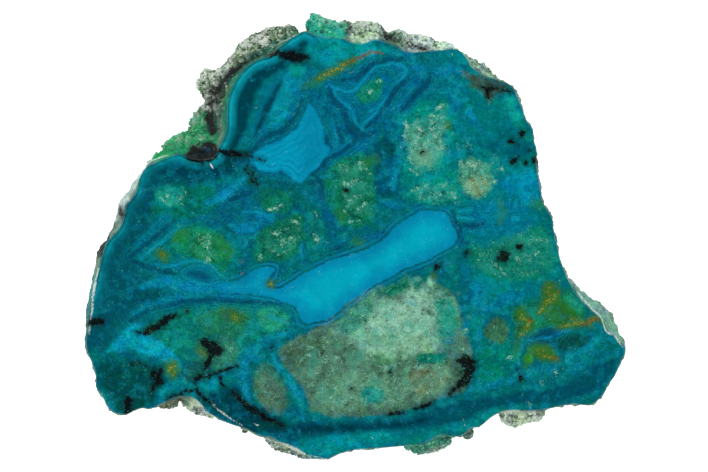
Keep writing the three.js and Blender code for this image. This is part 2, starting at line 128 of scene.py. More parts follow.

# The stone's pattern, read off the polished face: X to the right, Y up, in millimetres. Soft areas
# of colour come first, each as colour, feather and outline, and are laid one over the other.
AREAS = [
    (DEEP_LEFT, 2.5, [(-45, -20), (-44, -6), (-38, 6), (-33, 12), (-24, 13), (-19, 12), (-24, 8),
                      (-32, 7), (-35, 2), (-37, -3), (-34, -7), (-28, -9.5), (-33, -12), (-38, -15)]),
    (RIGHT_TEAL, 2.0, [(8, 31), (17, 31), (26, 25), (30, 14), (31, 5), (34, -4), (37, -9), (30, -12),
                       (24, -10), (19, -8), (17.5, 1), (16, 5), (8, 6), (7, 14), (6, 20), (9, 27)]),
    (TURQUOISE, 1.2, [(-9, 33.4), (-3, 33), (5, 32), (8, 30.5), (4, 30.6), (-3, 28.8), (-7, 28.5),
                      (-8, 31)]),
    ("#057385", 1.5, [(5, 32), (9, 30.6), (17, 31), (18, 27), (16, 23.5), (12, 25), (9, 28.5)]),
    ("#026880", 1.2, [(-7.5, 24), (-4, 26.5), (0, 28), (5, 29.3), (10, 28.5), (12.5, 25), (8, 20.5),
                      (5, 16.5), (2, 14), (-2, 13), (-7, 9), (-6, 14), (-5, 19), (-7, 22)]),
    ("#036e84", 1.4, [(-17, 14), (-17, 19), (-15, 24), (-12, 27.5), (-8.5, 29), (-6, 27), (-8, 23),
                      (-11, 19), (-14, 16)]),
    ("#068ba0", 1.0, [(-14.6, 17.6), (-14.2, 21.3), (-12.7, 24.2), (-10.6, 27.6), (-9.4, 27),
                      (-10.6, 23.5), (-11.5, 20.5), (-12.6, 17.8)]),
    (SEA, 0.5, [(-11, 28.6), (-9.3, 28.9), (-8.4, 27.8), (-9.2, 26.4), (-10.6, 26.6)]),
    (MID_LEFT, 1.5, [(-28, 2.5), (-25, 7), (-22, 10), (-18, 8), (-14, 7.5), (-12, 3.5), (-15, 1.5),
                     (-19, -1), (-22, 1)]),
    ("#046c5c", 1.0, [(-34, 8), (-29, 8.8), (-22.5, 8.4), (-23, 4.5), (-26, 3.3), (-30, 3.2),
                      (-33.5, 4)]),
    (SEA, 0.9, [(-34, 7.6), (-31, 8.4), (-28.6, 7.4), (-29.4, 5), (-32.6, 4.6)]),
    ("#045f66", 1.2, [(-17, 10), (-10, 9.4), (-8.5, 7), (-10, 3.5), (-13, 3), (-17, 5.5)]),
    (GREEN, 0.7, [(-16, 7.6), (-12, 8), (-10.3, 6.2), (-10.6, 3.8), (-13.5, 3.6), (-16, 4.8)]),
    (DEEP_WATER, 1.0, [(3.2, 15.5), (4.5, 17), (6.3, 16), (7.4, 12.5), (7.6, 8), (5, 5.5), (3.4, 6.8),
                       (3.2, 11)]),
    ("#03607a", 0.7, [(3.8, 13), (5.6, 13.5), (6.4, 10), (5.6, 7), (4, 7.5)]),
    ("#03607a", 0.8, [(-5, 9), (-4.3, 5), (-3, 2.5), (-2.6, 0.5), (-4.5, -0.5), (-5.6, 1), (-5.6, 5),
                      (-6.5, 8)]),
    (GREEN, 0.7, [(-5.6, 9.5), (-4.8, 5.5), (-3.5, 3.4), (-2.6, 1.7), (-0.8, 1.3), (1.5, 1.7), (3, 2.2),
                  (3.6, 4), (3.3, 7), (3, 10), (3, 13.2), (1, 14), (-1.5, 13.3), (-4, 12)]),
    (GREEN, 0.5, [(-15.5, 1.3), (-13.3, 2.3), (-10.8, 3.7), (-8.8, 3.7), (-8.3, 1.5), (-8.8, -1.5),
                  (-9.4, -3.3), (-12.5, -4.3), (-15.5, -5), (-17, -3.7), (-17, -0.7)]),
    ("#0a7266", 0.5, [(-8, 4.3), (-6, 4.6), (-5.1, 2), (-5, -0.5), (-6.4, -2), (-8.1, -2.8), (-8.5, -1),
                      (-7.9, 1.5)]),
    ("#04706e", 0.8, [(-36.7, -3.7), (-34.2, -1.5), (-31.7, 0.7), (-28.3, 2.3), (-25.8, 2.7),
                      (-23.3, 1.3), (-20, -0.3), (-19.7, -2.3), (-19.8, -5.3), (-19.4, -7.3),
                      (-22.2, -8.4), (-23.3, -6.2), (-26.7, -4.2), (-30, -4.2), (-31.7, -5.4),
                      (-35, -4.3)]),
    ("#0c7a50", 0.8, [(-31, 0), (-28, 1.6), (-25, 1.7), (-21, -0.5), (-20.5, -3), (-21.5, -6), (-24, -5),
                      (-27, -3.5), (-30.5, -2.5)]),
    ("#026c7a", 1.0, [(-41, -1.5), (-38.5, -1), (-34, 1.5), (-30.5, 4.2), (-30.5, 2.5), (-34, -0.8),
                      (-37.3, -3.5), (-41, -4)]),
    ("#0b7a6c", 0.9, [(-38, -18), (-34, -13.8), (-28, -11.6), (-20, -11.3), (-13, -11.4), (-10.3, -13.2),
                      (-10.4, -15.4), (-15, -17.4), (-19, -19.5), (-21, -22), (-26, -22), (-30, -19.4),
                      (-35, -18.6)]),
    ("#1d7858", 1.4, [(-26, -12.5), (-20, -11.8), (-17, -13.5), (-18, -17), (-22, -17.5), (-26, -15.5)]),
    ("#2f7048", 0.8, [(-22.6, -11.8), (-19, -11.9), (-18.2, -14), (-20.4, -14.6), (-22.4, -13.2)]),
    ("#2a7864", 1.2, [(-27, -17.6), (-24, -17), (-20.6, -16.2), (-18.6, -19), (-20.4, -22.4),
                      (-24.6, -22.6), (-26.8, -20)]),
    ("#16605a", 0.9, [(-27.4, -20.6), (-24.6, -21), (-23.4, -24), (-25.6, -26.4), (-28.4, -25.6),
                      (-28.4, -22.4)]),
    ("#1a8f74", 0.7, [(-16.8, -12.1), (-13.3, -11.7), (-10.9, -13.5), (-11.4, -15.2), (-15.2, -16)]),
    (LIGHT_TEAL, 0.8, [(-38.7, -15.6), (-36.2, -14.6), (-34.5, -16.6), (-31, -18.8), (-28.4, -21.5),
                       (-30, -22.2), (-33, -19.9), (-37.4, -18.7), (-42, -19.9), (-40.5, -18)]),
    ("#034a48", 1.5, [(-43.4, -22), (-40, -20.9), (-36, -20.7), (-33, -22), (-31, -25), (-32, -28),
                      (-38, -29.5), (-42, -26.5)]),
    ("#027f88", 0.8, [(-32.7, -25), (-29.5, -24), (-26, -24.3), (-22, -22.5), (-20, -22), (-21, -24.8),
                      (-26, -26.5), (-30, -26.9), (-33, -27.6)]),
    ("#026b78", 0.7, [(-36, -29), (-33, -27), (-30, -26.8), (-31, -28), (-34, -29)]),
    (DEEP, 1.1, [(-26, -26.8), (-21.5, -25.3), (-18.5, -26), (-16, -28.5), (-12, -31), (-7.5, -32.4),
                 (-10, -34.5), (-16, -33.3), (-23, -30.2)]),
    ("#2e6e5c", 0.6, [(-17.3, -23.5), (-16, -21), (-13.7, -21.6), (-11.8, -24.6), (-10.8, -27.6),
                      (-11.5, -29.8), (-14, -29.3), (-16.3, -27.5), (-17.2, -25.5)]),
    ("#4a6c58", 1.4, [(-17, -24.3), (-15, -22.4), (-12.4, -25.4), (-11.3, -28.8), (-13.6, -29),
                      (-16.4, -26.8)]),
    (SMOKE, 0.6, [(-12.4, -18.4), (-10, -17.2), (-8, -16.2), (-5.5, -14.6), (-4, -13.5), (-2, -12.1),
                  (0, -11.1), (3, -9.6), (6, -8.5), (9, -7.2), (12, -7.6), (15, -8.2), (16.8, -10.2),
                  (17.3, -13), (17.8, -16), (19.3, -18), (19.6, -21), (19, -25), (17.5, -26.2),
                  (15, -26.9), (12, -27.9), (9, -29), (5, -29.9), (0, -30), (-5, -30.1), (-7.6, -29),
                  (-8.2, -26.5), (-9.6, -24), (-11.6, -22), (-12.7, -20)]),
    (GREEN, 0.9, [(-4, -13.4), (0, -11), (6, -8.4), (9, -7), (13, -7.4), (16, -9.4), (16.6, -12),
                  (14.5, -9.6), (10, -8.9), (6, -10.2), (1, -12.6), (-2, -15)]),
    ("#7cb29a", 4.2, [(-2.6, -15.6), (0.6, -13.2), (4, -11.2), (7, -10.8), (10, -9), (13, -8.9),
                      (15.2, -10.6), (16, -13), (15.2, -16), (13.6, -18.3), (11, -19.4), (7, -19.8),
                      (4, -19.6), (2, -18.2), (-1, -16.9)]),
    ("#8fbfa6", 3.0, [(2, -14.6), (5, -12.4), (8, -10.6), (12, -10), (14, -12), (12.6, -14.4),
                      (8.4, -15.4), (5, -17)]),
    ("#7fae8e", 2.6, [(3, -17), (7, -16.4), (11.6, -17), (13, -18.6), (8, -19.6), (3.4, -19)]),
    ("#1f8a78", 2.4, [(12.6, -10.2), (15.8, -11), (17.2, -15), (17, -19), (14.8, -18.4), (13.8, -14.6)]),
    ("#3d8a72", 2.2, [(-3.2, -14.8), (0, -12.4), (3.4, -10.8), (2, -13.8), (-1, -16.8)]),
    (SMOKE_DARK, 1.4, [(-12, -19.4), (-9, -17.8), (-5.5, -16.4), (-4, -18.5), (-6, -21), (-9.5, -21.6),
                       (-12.2, -20.6)]),
    ("#5b8a6e", 1.3, [(-6.5, -24.5), (-2, -22.5), (3, -22.8), (8, -22), (14, -21), (16.5, -23), (14, -26),
                      (8, -27.8), (0, -28.9), (-6, -28.7)]),
    ("#6a7c5c", 1.2, [(8.5, -22.5), (13, -22), (16, -23.6), (14.5, -25.8), (9.5, -27)]),
    ("#0d8478", 0.8, [(0.6, -26.3), (1.6, -24.8), (3.6, -24.7), (5, -26), (4.6, -27.8), (2, -28.4)]),
    ("#0a7a66", 0.8, [(9.5, -20), (12.5, -19.2), (15.5, -19.6), (15, -21.2), (11, -21.4)]),
    (DEEP_WATER, 0.6, [(-12.5, -31.6), (-8.5, -30.9), (-4, -31), (2, -30.8), (8, -30.4), (12.5, -29.2),
                       (17, -27.7), (21, -26.6), (25, -26.4), (29, -25.6), (33.6, -25.4), (38, -23),
                       (42.8, -20), (44, -21), (42, -24.6), (38.6, -27), (30, -28), (25, -28.2),
                       (21.5, -29), (18, -31), (13, -31.8), (7, -32), (1, -32.5), (-5, -33.2),
                       (-9.5, -33.6)]),
    ("#003845", 0.5, [(-11, -32), (-7.5, -31.4), (-2, -31.5), (4, -31.3), (9, -31), (13.5, -29.8),
                      (12, -31.2), (6, -31.8), (0, -32.2), (-6, -32.8), (-9.5, -33)]),
    (TURQUOISE, 0.6, [(-9.6, -35.2), (-7.5, -33.8), (-4, -33.5), (2, -32.7), (6, -32.6), (8.5, -33.4),
                      (6, -34.9), (-0.8, -35.5), (-4.2, -36.8), (-7.8, -36.6)]),
    ("#037c76", 1.0, [(8.5, -34.6), (11, -32.4), (15, -31.8), (19, -31), (22, -29.2), (26, -28.4),
                      (30, -28.6), (25, -28.9), (20.6, -31.6), (17.8, -33), (14.5, -32.7), (11, -34.4)]),
    ("#037566", 1.0, [(18.5, -17), (22, -18), (27, -16.5), (27.5, -21), (24, -24), (20.5, -24.5),
                      (20, -20)]),
    ("#34684a", 0.6, [(21.6, -15.4), (22.6, -13.9), (24.6, -13.9), (25.7, -15.6), (25.2, -17.6),
                      (23.4, -18.2), (21.7, -17.2)]),
    ("#127552", 1.2, [(26.4, -11.6), (29, -11.4), (32, -8.4), (34.6, -7.4), (37.6, -11.4), (39.4, -13.6),
                      (38, -15.4), (33, -15.2), (29, -16.2), (26.4, -17.4)]),
    ("#22592a", 0.9, [(26.8, -12.2), (29, -12), (29, -15.4), (27.4, -17), (26.6, -15)]),
    ("#205c24", 0.9, [(32, -11.6), (35, -11.2), (37.4, -13.2), (36, -14.8), (32.6, -14.9),
                      (31.4, -13.4)]),
    ("#3a6a2a", 0.8, [(31.4, -7.4), (33, -7.2), (34.2, -9.6), (33, -12), (30.8, -13), (31.4, -10.4)]),
    ("#1a8a6c", 0.9, [(34.6, -9.6), (36.4, -10), (38.4, -12.6), (37.4, -13), (35.4, -11.8)]),
    ("#2f6a26", 0.9, [(29, -18.4), (31.6, -17.6), (33.6, -18.8), (33.8, -20.6), (31, -20.8),
                      (29, -20.2)]),
    ("#0a4f46", 0.9, [(33.4, -16.8), (36.6, -16.4), (39.4, -16.6), (38, -18.6), (35, -19.4),
                      (33.4, -18.4)]),
    ("#2f8a2c", 0.6, [(28.4, -19.8), (29.8, -20), (29.8, -21.4), (28.4, -21.6)]),
    ("#0286a1", 1.2, [(24.5, 10.6), (27.8, 10.4), (30.2, 10.8), (30.6, 8), (31.2, 5.6), (29.6, 4.6),
                      (27, 6.2), (24.4, 7.6)]),
    ("#02748c", 1.0, [(17.6, 1.6), (20, 5.4), (24, 6), (27, 5.5), (29.5, 4.4), (29, 0.6), (24, 0.2),
                      (20, -0.6)]),
    ("#0a7a68", 1.2, [(18, -2), (22, -1.6), (28, 0.4), (32, 2.2), (33.2, -1), (34.4, -5), (31, -7),
                      (25, -8), (20.4, -6)]),
    ("#00626c", 1.2, [(20, 15.6), (24, 18), (28, 18.4), (29.6, 14), (27, 12.4), (23, 13.4)]),
    ("#3b4f3c", 1.3, [(19.4, 26.8), (22, 26.6), (25.4, 25.2), (24.4, 23.6), (22.2, 22.4), (20.6, 24.4)]),
    ("#0a9088", 1.2, [(25, 24), (26.4, 22.5), (27.6, 19), (29.2, 16.8), (28.4, 16.2), (26.4, 19.2),
                      (24.2, 22.2)]),
    ("#0f7f62", 0.8, [(1, 25), (3, 26.4), (4.6, 26.6), (4.6, 24.6), (3.2, 22.4), (1.4, 21.9),
                      (0.2, 23.2)]),
    (SEA, 0.8, [(7.3, 17), (7.6, 20.4), (9.4, 21.4), (12, 22.2), (15.5, 22.8), (16.2, 19.6), (16, 15),
                (14.8, 11.6), (17, 10), (18, 6.4), (15.4, 5.2), (10.6, 5), (8.8, 7.6), (8.6, 11),
                (7.6, 14)]),
    ("#3f9580", 1.0, [(8, 18.6), (10.4, 18), (12.4, 17.4), (14.8, 17), (15, 14.8), (13, 12), (10.4, 11.4),
                      (9.2, 13.4)]),
    ("#5f9678", 0.8, [(9.8, 14), (11.8, 14.8), (13.2, 13.2), (12.6, 11.4), (10.2, 11.6)]),
    ("#3a9076", 0.7, [(17.2, 10.4), (18, 12.8), (19.6, 13), (22, 12), (23, 9.5), (22.2, 7.4), (20.8, 6.1),
                      (19.2, 6.1), (18.2, 7.2), (17.6, 8.6)]),
    ("#87965e", 1.0, [(19, 9.6), (20.6, 10.2), (22, 9.4), (21.6, 7.4), (20.4, 6.4), (19, 7),
                      (18.6, 8.4)]),
]

# Soft bands of colour: colour, half width, feather and path
BANDS = [
    ("#013f4c", 1.7, 1.0, [(-16.8, 26.4), (-14.4, 28.2), (-11.8, 29.9), (-9.2, 31.4)]),
    ("#023a44", 1.3, 0.9, [(-23.8, 12.5), (-20.6, 13.1), (-17.6, 13.4), (-15.4, 13)]),
    (DEEP, 1.35, 1.0, [(-20.6, 14.6), (-19.2, 17.5), (-19, 20.5), (-18.3, 23.4), (-16.6, 26.2),
                       (-14.2, 28.2), (-11.6, 29.8)]),
    (DEEP, 0.9, 0.8, [(-12.6, 30.3), (-10.4, 31.6), (-7.8, 32.4)]),
    (DEEP, 1.5, 1.0, [(-33, 11.2), (-30, 11.6), (-27, 10.9), (-24, 10.4), (-21.5, 11.4), (-19.5, 12.2)]),
    (DEEP_LEFT, 1.6, 1.2, [(-33.6, 9), (-35.4, 5), (-37, 1), (-39.2, -3), (-41, -7), (-42, -11)]),
    ("#023f4c", 0.5, 0.8, [(-16.6, 16.5), (-15.4, 19.6), (-13.8, 23), (-12.2, 25.6)]),
    ("#067f9c", 1.2, 0.8, [(-35.6, -8.4), (-31, -7.4), (-27, -8.6), (-22, -9), (-18, -8.4)]),
    ("#087e92", 0.75, 0.5, [(-9.8, -15.7), (-14, -16.8), (-17, -18.7), (-18.5, -21), (-18.5, -25),
                            (-17.4, -28)]),
    ("#087e92", 0.55, 0.5, [(-14.3, -18.2), (-13.4, -21), (-11.3, -23.5), (-9.6, -26), (-9, -28.5),
                            (-8.4, -30.5)]),
    ("#05768a", 0.8, 0.7, [(16, 25.5), (16.8, 22), (17.4, 20), (19.6, 19.6), (21.4, 17.2)]),
    ("#0890ae", 0.5, 0.5, [(19, 20.4), (19.8, 19.6)]),
    ("#057f86", 0.7, 0.7, [(15.2, 18), (15.4, 14), (15.4, 11)]),
    ("#04748a", 1.2, 1.0, [(18, -5), (20.2, -9), (21, -12), (24, -11), (29, -9.4)]),
    ("#05787e", 0.9, 0.8, [(20.6, -12), (20.2, -16), (21, -19.6)]),
    ("#067c8a", 0.7, 0.6, [(18.6, -26), (21, -25.2), (24, -24.8), (27, -23.4), (30, -22.4), (34, -21.4),
                           (38, -19), (41, -17.4)]),
    ("#088896", 0.35, 0.4, [(28.2, -15.4), (28, -18), (27.2, -20.2), (27.4, -22)]),
    ("#04748a", 0.9, 0.7, [(-37, -13.2), (-32.6, -10.9), (-26, -9.7), (-19, -10), (-11.5, -10.9)]),
    ("#067c8a", 0.8, 0.8, [(7.2, 21), (8.2, 15), (7, 12), (6.6, 8)]),
    ("#067c8a", 0.6, 0.5, [(5.6, 18), (6.6, 15.4)]),
    ("#087e92", 0.7, 0.7, [(4.2, 6), (6.5, 5.2), (8.4, 5)]),
    ("#0780a0", 0.7, 0.6, [(-24.5, 5.6), (-22.5, 6.4), (-20.6, 8), (-18.6, 9.4)]),
    ("#067898", 0.6, 0.5, [(-16, 3.6), (-14, 3.2)]),
    ("#067898", 0.8, 0.7, [(-20.5, 1.6), (-17.5, 0.8), (-15.5, 1.9)]),
    ("#066684", 0.8, 0.6, [(1.5, -0.5), (5, 0.6)]),
    ("#0a7ea6", 0.3, 0.3, [(28.6, -17.4), (30.4, -16.9), (32, -16.8), (33.6, -16), (36, -15.6)]),
    ("#0a7ea6", 0.15, 0.3, [(32.2, -16.8), (32.6, -18.2), (33.6, -18.8)]),
]

VEIN = [(-30, -8.2), (-26.5, -8), (-23.3, -7.6), (-20.4, -7.6), (-17.5, -6), (-15.5, -5.2), (-13.8, -5),
        (-13.3, -5.8), (-14.5, -7.2), (-14.7, -8.2), (-14, -8.8), (-12.4, -8.9), (-10.8, -8),
        (-9.2, -6.8), (-7.5, -5.7), (-4.2, -4.3), (-1.7, -3.3), (0.8, -2.7), (2.8, -1.8), (5, -0.3),
        (6.2, 1), (7.2, 1.8), (9.2, 3.4), (10.8, 4.2), (13.3, 4), (15.3, 3.9), (15.8, 2.3), (17, 0.7),
        (17, -0.7), (15.8, -1.7), (14.2, -2.7), (12.5, -4), (10, -4.8), (7.5, -5.7), (5.5, -7),
        (2.8, -8.5), (0.5, -10.2), (-1.7, -11.5), (-3.3, -13.2), (-5.8, -14.3), (-8.3, -14.8),
        (-9.2, -13.7), (-9.5, -12), (-11.7, -11), (-15, -10), (-19, -9.4), (-24, -9.6), (-28, -9.5)]
POOL = [(-17.2, 13.5), (-15, 15.2), (-12, 16.3), (-9.7, 18), (-8.3, 21), (-7.3, 22.3), (-6.2, 20.6),
        (-5.4, 18), (-5.2, 16), (-3.8, 14.5), (-4.8, 13), (-6.3, 11.4), (-8.2, 9.8), (-9.2, 8.6),
        (-10.4, 9.5), (-12, 10.7), (-14, 10.3), (-16.3, 10.8), (-17.4, 12.2)]
EYE = [(-29.6, -6.2), (-28, -5), (-26, -4.6), (-24.4, -5.2), (-23, -6.5), (-22.6, -7.7), (-24.6, -8.3),
       (-27, -7.8)]
FINGER = [(-4, 25), (-2.8, 24.6), (-1.2, 23.9), (0.3, 24.4), (1.4, 26), (3, 27.9), (5, 28.9), (7.4, 28.8),
          (8.6, 28), (8.3, 26.9), (6.4, 24.6), (4.9, 22.6), (3.6, 21.2), (2.2, 20.6)]
EYE_DARK = [(-27.6, -6.3), (-25.8, -6.8), (-24.2, -7.7)]

